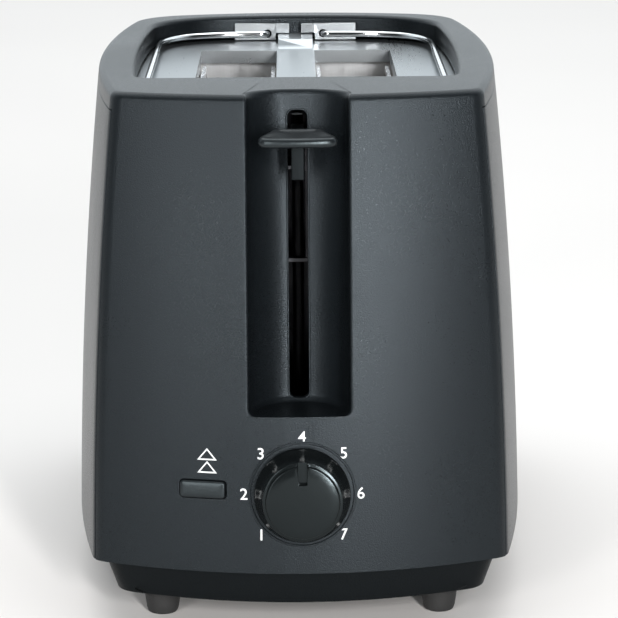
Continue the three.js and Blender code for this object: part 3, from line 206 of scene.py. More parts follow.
def finish_with(
    name, effect, colour, shade, metallic=0.0, tint=(1, 1, 1), stretch=(1, 1, 1), ior=1.5, **values
):
    """A finished material: one surface effect with this material's own values."""
    made, tree, shader, place = new_finish(name)
    mapping = tree.nodes.new("ShaderNodeMapping")
    mapping.inputs["Scale"].default_value = stretch
    link(tree, place, mapping.inputs["Vector"])
    placed = tree.nodes.new("ShaderNodeGroup")
    placed.node_tree = effect
    link(tree, mapping.outputs[0], placed.inputs["Place"])
    placed.inputs["Colour"].default_value = (*colour, 1)
    placed.inputs["Shade"].default_value = (*shade, 1)
    for key, value in values.items():
        placed.inputs[key.replace("_", " ")].default_value = value
    link(tree, placed.outputs["Colour"], shader.inputs["Base Color"])
    link(tree, placed.outputs["Roughness"], shader.inputs["Roughness"])
    link(tree, placed.outputs["Normal"], shader.inputs["Normal"])
    shader.inputs["Metallic"].default_value = metallic
    shader.inputs["Specular Tint"].default_value = (*tint, 1)
    shader.inputs["IOR"].default_value = ior
    made.diffuse_color = (*colour, 1)
    return made


pan_plastic = finish_with(
    "pan_plastic", moulded_grain, (0.0035, 0.0042, 0.0048), (0.0025, 0.003, 0.0035), ior=1.2,
    tint=(0.8, 0.95, 1), Grain=1500, Patches=60, Smoothest=0.36, Roughest=0.5, Depth=0.00003,
)


def quarter_bows(half_width, half_length, side_bow, end_bow):
    """The two curves that a bowed rectangle is drawn with: side x at a y, and end y at an x."""

    def side(y):
        return half_width + side_bow * (1 - (y / half_length) ** 2)

    def end(x):
        return half_length + end_bow * (1 - (x / half_width) ** 2)

    return side, end


def bowed_half(plan, corners, front_xs, corner_ts, side_steps, rear_xs):
    """Points from the front's middle round the right side to the rear's middle."""
    half_width, half_length = plan[:2]
    side, end = quarter_bows(*plan)
    front_corner, rear_corner = corners

    def turn(size):
        start = Vector((half_width - size, end(half_width - size)))
        stop = Vector((side(half_length - size), half_length - size))
        bend = Vector((half_width, half_length))
        return [start * (1 - t) ** 2 + bend * (2 * t * (1 - t)) + stop * t**2 for t in corner_ts]

    near, far = half_width - front_corner, half_width - rear_corner
    front = [Vector((x * near, -end(x * near))) for x in front_xs]
    low, high = front_corner - half_length, half_length - rear_corner
    along = [low + (high - low) * i / side_steps for i in range(1, side_steps)]
    flank = [Vector((side(y), y)) for y in along]
    rear = [Vector((x * far, end(x * far))) for x in reversed(rear_xs)]
    return front, [Vector((p.x, -p.y)) for p in turn(front_corner)], flank, turn(rear_corner)[::-1], rear


def full_ring(right_half):
    """Closes a half outline by mirroring it, leaving out points on the middle line."""
    left = [Vector((-p[0], *p[1:])) for p in reversed(right_half) if abs(p[0]) > 1e-6]
    return list(right_half) + left


def loft(bm, rings, closed=True):
    """A skin through rings of points in millimetres, drawn up from one to the next."""
    first = rings[0]
    if closed:
        verts = bmesh.ops.create_circle(bm, segments=len(first), radius=1)["verts"]
    else:
        verts = [bm.verts.new((i, 0, 0)) for i in range(len(first))]
        for a, b in zip(verts, verts[1:]):
            bm.edges.new((a, b))
    for vert, point in zip(verts, first):
        vert.co = Vector(point) * MM
    rows = [verts]
    for ring in rings[1:]:
        row = rows[-1]
        members = set(row)
        edges = [e for e in {e for v in row for e in v.link_edges} if set(e.verts) <= members]
        extruded = bmesh.ops.extrude_edge_only(bm, edges=edges)["geom"]
        drawn = {g for g in extruded if isinstance(g, bmesh.types.BMVert)}
        new_row = [next(e.other_vert(v) for e in v.link_edges if e.other_vert(v) in drawn) for v in row]
        for vert, point in zip(new_row, ring):
            vert.co = Vector(point) * MM
        rows.append(new_row)
    return rows


def cap(bm, row):
    """Closes the end of a skin with one face."""
    bm.faces.new(row)


def piece_of(name, bm, finish, body, stands_for=(), sharp=32, outward=True):
    """Turns a finished bmesh into a piece of the toaster; outward turns its faces to the outside."""
    if outward:
        bmesh.ops.remove_doubles(bm, verts=bm.verts[:], dist=1e-7)
        bmesh.ops.recalc_face_normals(bm, faces=bm.faces[:])
    mesh = bpy.data.meshes.new(name)
    bm.to_mesh(mesh)
    bm.free()
    made = bpy.data.objects.new(name, mesh)
    scene.collection.objects.link(made)
    mesh.materials.append(finish)
    mesh.shade_smooth()
    mesh.set_sharp_from_angle(angle=radians(sharp))
    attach(made, body)
    if stands_for:
        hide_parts(*stands_for)
    return made


def settle_modifiers(piece, sharp=32):
    """Makes the piece's modifiers part of its mesh."""
    seen = piece.evaluated_get(bpy.context.evaluated_depsgraph_get())
    settled = bpy.data.meshes.new_from_object(seen)
    piece.modifiers.clear()
    piece.data = settled
    settled.shade_smooth()
    settled.set_sharp_from_angle(angle=radians(sharp))


def carve(piece, cutter_bm):
    """Cuts a shape out of a piece."""
    bmesh.ops.recalc_face_normals(cutter_bm, faces=cutter_bm.faces[:])
    mesh = bpy.data.meshes.new("cutter")
    cutter_bm.to_mesh(mesh)
    cutter_bm.free()
    cutter = bpy.data.objects.new("cutter", mesh)
    scene.collection.objects.link(cutter)
    cut = piece.modifiers.new("cut", "BOOLEAN")
    cut.operation, cut.solver, cut.object = "DIFFERENCE", "EXACT", cutter
    bpy.context.view_layer.update()
    settle_modifiers(piece)
    bpy.data.objects.remove(cutter)


def thicken(piece, wall):
    """Gives an outer skin its wall."""
    shell = piece.modifiers.new("wall", "SOLIDIFY")
    shell.thickness, shell.offset = wall * MM, -1
    shell.use_even_offset = True
    shell.use_quality_normals = True


def soften(piece, width, segments=3, angle=45, clamp=False):
    """Rounds the piece's sharp edges."""
    edges = piece.modifiers.new("edges", "BEVEL")
    edges.width, edges.segments = width * MM, segments
    edges.limit_method, edges.angle_limit = "ANGLE", radians(angle)
    edges.use_clamp_overlap = clamp
    edges.harden_normals = True
    edges.miter_outer = "MITER_ARC"


def block(bm, x, y, z, corner=0.0, turn=Matrix.Identity(4)):
    """A block between limits in millimetres, its upright edges rounded."""
    limits = (x, y, z)
    centre = Vector([(low + high) / 2 for low, high in limits])
    made = bmesh.ops.create_cube(bm, size=1)["verts"]
    bmesh.ops.scale(bm, vec=[high - low for low, high in limits], verts=made)
    if corner:
        edges = {e for v in made for e in v.link_edges}
        upright = [e for e in edges if abs((e.verts[0].co - e.verts[1].co).z) > 1e-6]
        rounded = bmesh.ops.bevel(
            bm, geom=upright, offset=corner, offset_type="OFFSET", segments=5, profile=0.5,
            affect="EDGES", material=-1, clamp_overlap=True,
        )
        made = list({v for f in rounded["faces"] for v in f.verts} | {v for v in made if v.is_valid})
    bmesh.ops.translate(bm, vec=centre, verts=made)
    bmesh.ops.transform(bm, matrix=turn @ Matrix.Scale(MM, 4), verts=made)


def pan_plan(z, taken=0.0):
    """The pan's half width, half length and bows at a height."""
    share = (z - PAN_BOTTOM) / (SHELL_BOTTOM - PAN_BOTTOM)
    side_inset, end_inset = [low + (high - low) * share for low, high in (PAN_SIDE_INSETS, PAN_END_INSETS)]
    return HALF_WIDTH - side_inset - taken, HALF_LENGTH - end_inset - taken, PAN_SIDE_BOW, PAN_END_BOW


def pan_ring(z, taken=0.0):
    """One ring round the pan, drawn in by an amount."""
    tenths = [i / 10 for i in range(11)]
    parts = bowed_half(pan_plan(z, taken), PAN_CORNERS, tenths, [i / 9 for i in range(1, 9)], 20, tenths)
    return [(p.x, p.y + MIDDLE_Y, z) for p in full_ring([p for part in parts for p in part])]


bm = bmesh.new()
rings = [pan_ring(PAN_BOTTOM, 30), pan_ring(PAN_BOTTOM, PAN_EDGE + 1)]
for a in range(0, 91, 18):
    a = radians(a)
    rings.append(pan_ring(PAN_BOTTOM + PAN_EDGE * (1 - cos(a)), PAN_EDGE * (1 - sin(a))))
rings += [pan_ring(z) for z in (14, 17.5, 21, 23.6)]
rings += [pan_ring(25.6, 0.4), pan_ring(26.9, 0.4)]
rows = loft(bm, rings)
cap(bm, list(reversed(rows[0])))
pan = piece_of("pan_moulding", bm, pan_plastic, "housing", ("base_pan",))
thicken(pan, PAN_WALL)
settle_modifiers(pan)
TRAY_MOUTH = (-44.4, 44.4), (90, 160), (12.7, 19.4)
VENTS, VENT_PITCH, VENT_HALF, VENT_REACH = 8, 20, 1.7, 25
SCREW_HOLE_HALF = 1.8
FOOT_PLACES = {}
for corner_name in ("front_left", "front_right", "rear_left", "rear_right"):
    foot_low, foot_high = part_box(f"{corner_name}_foot")
    FOOT_PLACES[corner_name] = (foot_low + foot_high).xy / (2 * MM)
cutters = bmesh.new()
block(cutters, *TRAY_MOUTH)
for i in range(VENTS):
    y = VENT_PITCH * (i - (VENTS - 1) / 2) + MIDDLE_Y
    block(cutters, (-VENT_REACH, VENT_REACH), (y - VENT_HALF, y + VENT_HALF), (5, 13.8), corner=1.6)
for x, y in FOOT_PLACES.values():
    hole = SCREW_HOLE_HALF
    block(cutters, (x - hole, x + hole), (y - hole, y + hole), (5, 18.1), corner=1.6)
carve(pan, cutters)
soften(pan, 0.35, 2)

# ---------------------------------------------------------------------------
# Feet: four turned rubber pads under the pan's corners, each held up by a
# cross-headed steel screw.
# ---------------------------------------------------------------------------
foot_rubber = finish_with(
    "foot_rubber", moulded_grain, (0.014, 0.014, 0.014), (0.009, 0.009, 0.009),
    Grain=1900, Patches=120, Smoothest=0.55, Roughest=0.75, Depth=0.00004,
)


def turned(bm, outline, steps, turn=Matrix.Identity(4)):
    """Spins an outline of (radius, height) pairs in millimetres round the upright axis."""
    others = set(bm.verts)
    verts = [bm.verts.new((radius, 0, height)) for radius, height in outline]
    edges = [bm.edges.new(pair) for pair in zip(verts, verts[1:])]
    bmesh.ops.spin(
        bm, geom=verts + edges, axis=(0, 0, 1), cent=(0, 0, 0), angle=2 * pi, steps=steps, use_merge=True
    )
    spun = [v for v in bm.verts if v not in others]
    bmesh.ops.remove_doubles(bm, verts=spun, dist=1e-4)
    kept = [v for v in spun if v.is_valid]
    bmesh.ops.transform(bm, matrix=turn @ Matrix.Scale(MM, 4), verts=kept)


def arc(centre, radius, start, stop, steps):
    """Points of a rounded edge, for an outline."""
    angles = [radians(start + (stop - start) * i / steps) for i in range(steps + 1)]
    return [(centre[0] + radius * cos(a), centre[1] + radius * sin(a)) for a in angles]


foot_outline = [(1.9, 3.8), (3.3, 3.8), (3.3, 0.3), *arc((3.6, 0.3), 0.3, 180, 270, 3)]
foot_outline += [*arc((4.4, 1.0), 1.0, 270, 340, 4), (5.7, 1.9), (6.1, 4.3), (6.6, 7.8)]
foot_outline += [*arc((6.5, 9.8), 0.5, -10, 90, 4), (1.9, 10.3), (1.9, 3.8)]
for corner_name, (x, y) in FOOT_PLACES.items():
    bm = bmesh.new()
    turned(bm, foot_outline, 40, Matrix.Translation(Vector((x, y, 0)) * MM))
    piece_of(f"{corner_name}_rubber_foot", bm, foot_rubber, "housing", (f"{corner_name}_foot",))


def metal(tree, given):
    """Rolled or drawn metal: fine lines along the sheet, with faint wider streaks."""
    lines = node(tree, "ShaderNodeTexNoise", Vector=given["Place"], Scale=given["Lines"], Detail=4.0)
    lines.inputs["Roughness"].default_value = 0.6
    clouds = node(tree, "ShaderNodeTexNoise", Vector=given["Place"], Scale=given["Clouds"], Detail=2.0)
    both = node(tree, "ShaderNodeMath", operation="MULTIPLY_ADD")
    link(tree, lines.outputs[0], both.inputs[0])
    both.inputs[1].default_value = 0.5
    link(tree, clouds.outputs[0], both.inputs[2])
    shine = node(tree, "ShaderNodeMapRange", Value=both.outputs[0])
    shine.inputs["From Min"].default_value = 0.5
    shine.inputs["From Max"].default_value = 1.0
    link(tree, given["Smoothest"], shine.inputs["To Min"])
    link(tree, given["Roughest"], shine.inputs["To Max"])
    colour = blend_of(tree, both.outputs[0], given["Shade"], given["Colour"])
    return colour, shine.outputs[0], lines.outputs[0]


rolled_metal = surface_effect("rolled_metal", ["Lines", "Clouds", "Smoothest", "Roughest", "Depth"], metal)
screw_zinc = finish_with(
    "screw_zinc", rolled_metal, (0.55, 0.55, 0.57), (0.38, 0.38, 0.4), metallic=1.0,
    Lines=1800, Clouds=300, Smoothest=0.22, Roughest=0.42, Depth=0.00002,
)


def dress(finish, width, *names):
    """Gives CAD pieces their finish and rounds their edges a little."""
    for name in names:
        piece = frame["nodes"][name]
        piece.material_slots[0].material = finish
        weld = piece.modifiers.new("weld", "WELD")
        weld.merge_threshold = 0.01 * MM
        if width:
            soften(piece, width, 2, 38, clamp=True)


dress(screw_zinc, 0.15, *[f"{corner_name}_foot_screw" for corner_name in FOOT_PLACES])

# ---------------------------------------------------------------------------
# Crumb tray: a folded tray of bright steel sheet that slides in from the rear,
# with a moulded grip that closes the mouth in the pan.
# ---------------------------------------------------------------------------
bright_steel = finish_with(
    "bright_steel", rolled_metal, (0.42, 0.445, 0.46), (0.34, 0.36, 0.375), metallic=1.0,
    stretch=(1, 0.06, 1), Lines=1500, Clouds=40, Smoothest=0.26, Roughest=0.34, Depth=0.000003,
)
dress(bright_steel, 0.25, "crumb_tray")


def rounded_section(width, height, radius, steps=4):
    """A rounded rectangle about the origin, anticlockwise."""
    x, y = width / 2 - radius, height / 2 - radius
    corners = ((x, y, 0), (-x, y, 90), (-x, -y, 180), (x, -y, 270))
    return [p for cx, cy, start in corners for p in arc((cx, cy), radius, start, start + 90, steps)]


GRIP_HALF, GRIP_ROUND, GRIP_Z, GRIP_STAND = 44, 1.4, 16, 0.75
bm = bmesh.new()
side, end = quarter_bows(*pan_plan(GRIP_Z))
section = rounded_section(4.6, 6.0, 1.6)
rings = []
for i in range(33):
    x = GRIP_HALF * (i / 16 - 1)
    near_end = max(0.0, abs(x) - GRIP_HALF + GRIP_ROUND) / GRIP_ROUND
    squeeze = sqrt(max(0.0, 1 - near_end**2)) * 0.35 + 0.65
    middle_y = end(x) + MIDDLE_Y + GRIP_STAND
    rings.append([(x, middle_y + u * squeeze, GRIP_Z + v * squeeze) for u, v in section])
rows = loft(bm, rings)
cap(bm, rows[0])
cap(bm, list(reversed(rows[-1])))
piece_of("tray_grip", bm, pan_plastic, "tray", ("crumb_tray_handle",))

# ---------------------------------------------------------------------------
# Chassis: end plates and reflectors folded from steel sheet, standing on the
# pan's shelves and tabbed into the top plate. The front plate is blackened.
# ---------------------------------------------------------------------------
dull_steel = finish_with(
    "dull_steel", rolled_metal, (0.78, 0.785, 0.79), (0.6, 0.605, 0.61), metallic=1.0,
    stretch=(1, 1, 0.08), Lines=1300, Clouds=50, Smoothest=0.28, Roughest=0.42, Depth=0.000005,
)
plated_iron = finish_with(
    "plated_iron", rolled_metal, (0.045, 0.046, 0.05), (0.028, 0.029, 0.032), metallic=1.0,
    Lines=1600, Clouds=200, Smoothest=0.28, Roughest=0.48, Depth=0.00002,
)
dress(dull_steel, 0.2, "chassis_rear_plate", "left_reflector", "right_reflector")
dress(plated_iron, 0.2, "chassis_front_plate")

# ---------------------------------------------------------------------------
# Heaters: nickel-chrome ribbon wound to and fro over boards of pressed mica,
# one in the middle and one outside each slot.
# ---------------------------------------------------------------------------
def flakes(tree, given):
    """Overlapping flakes of mica, each its own tone."""
    cells = node(tree, "ShaderNodeTexVoronoi", Vector=given["Place"], Scale=given["Flakes"])
    soft = node(tree, "ShaderNodeTexNoise", Vector=given["Place"], Scale=given["Clouds"], Detail=3.0)
    grey = node(tree, "ShaderNodeMath", operation="MULTIPLY")
    link(tree, cells.outputs["Color"], grey.inputs[0])
    link(tree, soft.outputs[0], grey.inputs[1])
    shine = node(tree, "ShaderNodeMapRange", Value=grey.outputs[0])
    shine.inputs["To Min"].default_value = 0.35
    shine.inputs["To Max"].default_value = 0.7
    colour = blend_of(tree, grey.outputs[0], given["Shade"], given["Colour"])
    return colour, shine.outputs[0], cells.outputs["Distance"]


pressed_mica = surface_effect("pressed_mica", ["Flakes", "Clouds", "Depth"], flakes)
mica_board = finish_with(
    "mica_board", pressed_mica, (0.62, 0.52, 0.34), (0.3, 0.235, 0.14),
    Flakes=420, Clouds=90, Depth=0.00005,
)
heater_ribbon = finish_with(
    "heater_ribbon", rolled_metal, (0.36, 0.31, 0.27), (0.16, 0.14, 0.15), metallic=1.0,
    stretch=(1, 0.1, 1), Lines=1500, Clouds=130, Smoothest=0.3, Roughest=0.5, Depth=0.00001,
)
dress(mica_board, 0.1, "left_heater_card", "centre_heater_card", "right_heater_card")
for heater in ("left", "centre_left", "centre_right", "right"):
    dress(heater_ribbon, 0.15, f"{heater}_heating_element")

# ---------------------------------------------------------------------------
# Bread guides: cages of plated steel wire that close on the bread as the
# carriage goes down.
# ---------------------------------------------------------------------------
plated_wire = finish_with(
    "plated_wire", rolled_metal, (0.68, 0.68, 0.69), (0.45, 0.45, 0.46), metallic=1.0,
    Lines=1400, Clouds=160, Smoothest=0.18, Roughest=0.36, Depth=0.00001,
)
for side_name in ("left", "right"):
    dress(plated_wire, 0.3, f"{side_name}_inner_bread_guide", f"{side_name}_outer_bread_guide")

# ---------------------------------------------------------------------------
# Carriage: a pressed bracket that runs on an upright rod, two toothed lifters,
# and the iron plate that the electromagnet holds down.
# ---------------------------------------------------------------------------
spring_wire = finish_with(
    "spring_wire", rolled_metal, (0.48, 0.48, 0.5), (0.3, 0.3, 0.32), metallic=1.0,
    Lines=2200, Clouds=260, Smoothest=0.2, Roughest=0.4, Depth=0.00001,
)
dress(bright_steel, 0.3, "left_bread_lifter", "right_bread_lifter")
dress(plated_iron, 0.3, "carriage_bracket", "spring_anchor", "armature_plate")
dress(spring_wire, 0.0, "carriage_spring")
# The guide rod gets the near-black iron finish as painted shade: it stands deep in the bread slot, and the
# darker colour keeps its reflection from shining there.
dress(plated_iron, 0.0, "guide_rod")

# ---------------------------------------------------------------------------
# Electrics behind the front wall: a green control board, its electromagnet
# with a copper winding, the browning potentiometer and the cancel switch.
# ---------------------------------------------------------------------------
def tracks(tree, given):
    """Copper tracks under green lacquer, as a net of cells."""
    net = node(tree, "ShaderNodeTexBrick", Vector=given["Place"], Scale=given["Tracks"])
    net.inputs["Mortar Size"].default_value = 0.035
    soft = node(tree, "ShaderNodeTexNoise", Vector=given["Place"], Scale=given["Clouds"])
    shine = node(tree, "ShaderNodeMapRange", Value=soft.outputs[0])
    shine.inputs["To Min"].default_value = 0.2
    shine.inputs["To Max"].default_value = 0.45
    colour = blend_of(tree, net.outputs["Fac"], given["Shade"], given["Colour"])
    return colour, shine.outputs[0], net.outputs["Fac"]


circuit_tracks = surface_effect("circuit_tracks", ["Tracks", "Clouds", "Depth"], tracks)
solder_mask = finish_with(
    "solder_mask", circuit_tracks, (0.08, 0.3, 0.14), (0.02, 0.12, 0.05),
    stretch=(1, 1, 0.6), Tracks=120, Clouds=90, Depth=0.00004,
)


def winding(tree, given):
    """Turns of enamelled wire, lying side by side."""
    turns = node(tree, "ShaderNodeTexWave", Vector=given["Place"], Scale=given["Turns"], bands_direction="Z")
    soft = node(tree, "ShaderNodeTexNoise", Vector=given["Place"], Scale=given["Clouds"])
    shine = node(tree, "ShaderNodeMapRange", Value=soft.outputs[0])
    shine.inputs["To Min"].default_value = 0.15
    shine.inputs["To Max"].default_value = 0.4
    colour = blend_of(tree, turns.outputs["Fac"], given["Shade"], given["Colour"])
    return colour, shine.outputs[0], turns.outputs["Fac"]


wound_wire = surface_effect("wound_wire", ["Turns", "Clouds", "Depth"], winding)
copper_winding = finish_with(
    "copper_winding", wound_wire, (0.62, 0.29, 0.15), (0.2, 0.08, 0.04), metallic=1.0,
    Turns=550, Clouds=200, Depth=0.0001,
)
component_plastic = finish_with(
    "component_plastic", moulded_grain, (0.03, 0.03, 0.033), (0.018, 0.018, 0.02),
    Grain=1300, Patches=150, Smoothest=0.35, Roughest=0.55, Depth=0.00003,
)
chrome_plate = finish_with(
    "chrome_plate", rolled_metal, (0.86, 0.87, 0.88), (0.78, 0.79, 0.8), metallic=1.0,
    Lines=900, Clouds=60, Smoothest=0.05, Roughest=0.12, Depth=0.000003,
)
dress(solder_mask, 0.1, "control_board")
dress(plated_iron, 0.2, "electromagnet_core")
dress(copper_winding, 0.5, "electromagnet_coil")
dress(component_plastic, 0.4, "potentiometer_body", "cancel_switch")
dress(chrome_plate, 0.2, "potentiometer_shaft")

# ---------------------------------------------------------------------------
# Top plate: one pressing of bright steel with a turned-down lip round each
# bread slot, and the brackets spot-welded to it that carry the rack.
# ---------------------------------------------------------------------------
dress(bright_steel, 0.35, "top_plate")
for side_name in ("left", "right"):
    dress(bright_steel, 0.3, f"{side_name}_rear_rack_bracket", f"{side_name}_front_rack_bracket")

# ---------------------------------------------------------------------------
# Roll rack: two loops of chromed steel wire bent to the outline of the opening.
# Each turns on its two ends, which sit in the brackets' holes.
# ---------------------------------------------------------------------------
WIRE_RADIUS, WIRE_SIDES = 1.3, 14
RACK_EDGE_X, RACK_FRONT, RACK_REAR, PIVOT_BEND = 54.9, -63.6, 97.7, 3.2


def joint_place(name):
    """Where a joint stands, in millimetres."""
    joints = frame["record"]["behaviour"]["joints"]
    return [distance / MM for joint in joints if joint["name"] == name for distance in joint["pos_m"]]


PIVOT_X, _, WIRE_Z = joint_place("right_rack_swing")


def bent(a, b, c, steps):
    """Points of a bend from a to c that is drawn towards b, leaving a out."""
    ts = [i / steps for i in range(1, steps + 1)]
    return [a * (1 - t) ** 2 + b * (2 * t * (1 - t)) + c * t**2 for t in ts]


def rack_route(sign):
    """The middle line of one loop, from its front end round the outside to its rear end."""

    def at(x, y):
        return Vector((sign * x, y + MIDDLE_Y, WIRE_Z))

    front, rear, edge_x, turn = RACK_FRONT, RACK_REAR, RACK_EDGE_X, PIVOT_BEND
    route = [at(PIVOT_X, front - 4.4), at(PIVOT_X, front - turn)]
    route += bent(route[-1], at(PIVOT_X, front), at(PIVOT_X + turn, front), 8)
    route += [at(20, front), at(30, front), at(edge_x - 9, front)]
    route += bent(route[-1], at(edge_x, front), at(edge_x, front + 12), 10)
    route += [at(edge_x, y) for y in (-30, -10, 10, 30, 50, 65.1)]
    corner_point = at(edge_x - 16, rear - 4.1)
    route += bent(route[-1], at(edge_x - 1, rear - 9.6), corner_point, 12)
    route += bent(corner_point, at(edge_x - 25.6, rear), at(PIVOT_X + turn, rear), 8)
    route += bent(route[-1], at(PIVOT_X, rear), at(PIVOT_X, rear + turn), 8)
    route += [at(PIVOT_X, rear + 4.4)]
    return route


for side_name, sign in (("left", -1), ("right", 1)):
    route = rack_route(sign)
    rings = []
    for i, point in enumerate(route):
        forward = (route[min(i + 1, len(route) - 1)] - route[max(i - 1, 0)]).normalized()
        across = Vector((-forward.y, forward.x, 0))
        angles = [2 * pi * k / WIRE_SIDES for k in range(WIRE_SIDES)]
        rings.append([point + WIRE_RADIUS * (across * cos(a) + Vector((0, 0, sin(a)))) for a in angles])
    bm = bmesh.new()
    rows = loft(bm, rings)
    cap(bm, rows[0])
    cap(bm, list(reversed(rows[-1])))
    replaced = (f"{side_name}_rack_wire",)
    piece_of(f"{side_name}_chrome_wire", bm, chrome_plate, f"{side_name}_rack", replaced)

# ---------------------------------------------------------------------------
# Housing shell: one moulding of dark slate polypropylene with a fine spark
# grain, clipped over the pan. A U-shaped channel in its front wall guides the
# lever, and raised beads edge the lever slot and the knob's seat.
# ---------------------------------------------------------------------------
shell_plastic = finish_with(
    "shell_plastic", moulded_grain, (0.006, 0.0076, 0.009), (0.004, 0.0051, 0.006), ior=1.32,
    tint=(0.8, 0.92, 1), Grain=2200, Patches=22, Smoothest=0.23, Roughest=0.34, Depth=0.00004,
)
SIDE_LEAN, END_LEAN, SIDE_BOWS, END_BOWS = 8.9, 14.9, (11.1, 9.7), (17.1, 11.3)
SHELL_WALL, TOP_EDGE, RIM_EDGE = 2.2, 2.2, 1.8
OPENING_HALF, OPENING_FRONT, OPENING_REAR, OPENING_CORNER, OPENING_BOW = 60.1, -70.1, 103.1, 9, 2.4
FRONT_CORNER, REAR_CORNER = 4, 15
FLOOR_Z, FLOOR_CORNER, PANEL_TOP = 78.8, 2.5, 181
CHANNEL_HALF, BACK_FLAT, MOUTH_EDGE = 17.3, 4.6, 1.1
FLOOR_DEPTH, TOP_DEPTH = 22.5, 14.8
FRONT_STEPS, FLANK_STEPS, REAR_STEPS = 12, 26, 17


def body_plan(z, taken=0.0):
    """The body's half width, half length and bows at a height; the walls lean in towards the top."""
    share = (z - SHELL_BOTTOM) / (BODY_TOP - SHELL_BOTTOM)
    lean = 0.32 * share + 0.68 * share**2
    half_width, half_length = HALF_WIDTH - SIDE_LEAN * lean, HALF_LENGTH - END_LEAN * lean
    side_bow, end_bow = [low + (high - low) * lean for low, high in (SIDE_BOWS, END_BOWS)]
    return half_width - taken, half_length - taken, side_bow, end_bow


def wall_reach(x, z, taken=0.0):
    """How far the front and rear walls stand from the middle."""
    half_width, half_length, _, end_bow = body_plan(z, taken)
    return half_length + end_bow * (1 - (x / half_width) ** 2)


def channel_axis(z):
    """Where the middle of the channel's round back stands, at a height."""
    low = -(wall_reach(0, FLOOR_Z) - FLOOR_DEPTH + CHANNEL_HALF)
    high = -(wall_reach(0, BODY_TOP) - TOP_DEPTH + CHANNEL_HALF)
    return low + (high - low) * (z - FLOOR_Z) / (BODY_TOP - FLOOR_Z)


back_angle = asin(BACK_FLAT / CHANNEL_HALF)
ARC_ANGLES = [back_angle + (pi / 2 - back_angle) * i / 12 for i in range(13)]
CHANNEL_COLUMNS = len(ARC_ANGLES) + 6
CORNER_TS = [0.13, 0.27, 0.41, 0.55, 0.69, 0.81, 0.91]
SWEEP_EXTRA = 5


def channel_points(half, z, taken=0.0):
    """Half of the channel's outline, from its back round its eased edge on to the front wall."""
    back_y = channel_axis(z) + half
    edge_x = half + MOUTH_EDGE
    wall_y = -wall_reach(edge_x, z, taken)
    deep = min(half, (back_y - wall_y - MOUTH_EDGE) * 0.9)
    axis = back_y - deep
    stop_y = wall_y + MOUTH_EDGE
    round_back = [(half * sin(a), axis + deep * cos(a)) for a in ARC_ANGLES]
    sides = [(half, axis + (stop_y - axis) * t) for t in (1 / 2, 1)]
    eighths = [pi * i / 8 for i in range(1, 5)]
    eased = [(edge_x - MOUTH_EDGE * cos(a), stop_y - MOUTH_EDGE * sin(a)) for a in eighths]
    return round_back + sides + eased


def plain_points(half, z, taken=0.0):
    """The same number of points on a wall with no channel."""
    first, edge_x = BACK_FLAT / CHANNEL_HALF, half + MOUTH_EDGE
    shares = [first + (1 - first) * i / (CHANNEL_COLUMNS - 1) for i in range(CHANNEL_COLUMNS)]
    return [(edge_x * s, -wall_reach(edge_x * s, z, taken)) for s in shares]


def shell_ring(z, mouth, half=CHANNEL_HALF, taken=0.0):
    """One ring round the body: the mouth's points, then the wall's."""
    plan = body_plan(z, taken)
    start_x = plan[0] - FRONT_CORNER
    first_x = half + MOUTH_EDGE
    steps = range(1, FRONT_STEPS + 1)
    fronts = [(first_x + (start_x - first_x) * i / FRONT_STEPS) / start_x for i in steps]
    rears = [i / (REAR_STEPS - 1) for i in range(REAR_STEPS)]
    parts = bowed_half(plan, (FRONT_CORNER, REAR_CORNER), fronts, CORNER_TS, FLANK_STEPS, rears)
    right = [Vector(p) for p in mouth(half, z, taken)] + [p for part in parts for p in part]
    return [(p[0], p[1] + MIDDLE_Y, z) for p in full_ring(right)]


def opening_ring(grow, z):
    """The same number of points round the opening in the top."""
    wide, front, rear = OPENING_HALF + grow, OPENING_FRONT - grow, OPENING_REAR + grow
    turn, ahead = OPENING_CORNER + grow, 14
    near_x = wide - OPENING_BOW
    straight = near_x - turn
    fronts = [ahead * i / CHANNEL_COLUMNS for i in range(1, CHANNEL_COLUMNS + 1)]
    fronts += [ahead + (straight - ahead) * i / FRONT_STEPS for i in range(1, FRONT_STEPS + 1)]
    points = [Vector((x, front)) for x in fronts]
    corner_end, flank_end = Vector((near_x, front + turn)), Vector((near_x, rear - 31))
    points += bent(points[-1], Vector((near_x, front)), corner_end, len(CORNER_TS))
    middle = Vector((wide + OPENING_BOW, (corner_end.y + flank_end.y) / 2))
    points += bent(corner_end, middle, flank_end, FLANK_STEPS)[:-1]
    a, b = flank_end, Vector((wide - 4, rear - 14))
    c, d = Vector((wide - 16, rear - 5)), Vector((wide - 32, rear - 2))
    sweep = len(CORNER_TS) + SWEEP_EXTRA
    for t in [i / sweep for i in range(1, sweep + 1)]:
        points.append(a * (1 - t) ** 3 + b * (3 * t * (1 - t) ** 2) + c * (3 * t**2 * (1 - t)) + d * t**3)
    across = REAR_STEPS - SWEEP_EXTRA
    for s in [1 - i / across for i in range(1, across + 1)]:
        points.append(Vector((d.x * s, d.y + 2 * (1 - s * s))))
    return [(p.x, p.y + MIDDLE_Y, z) for p in full_ring(points)]


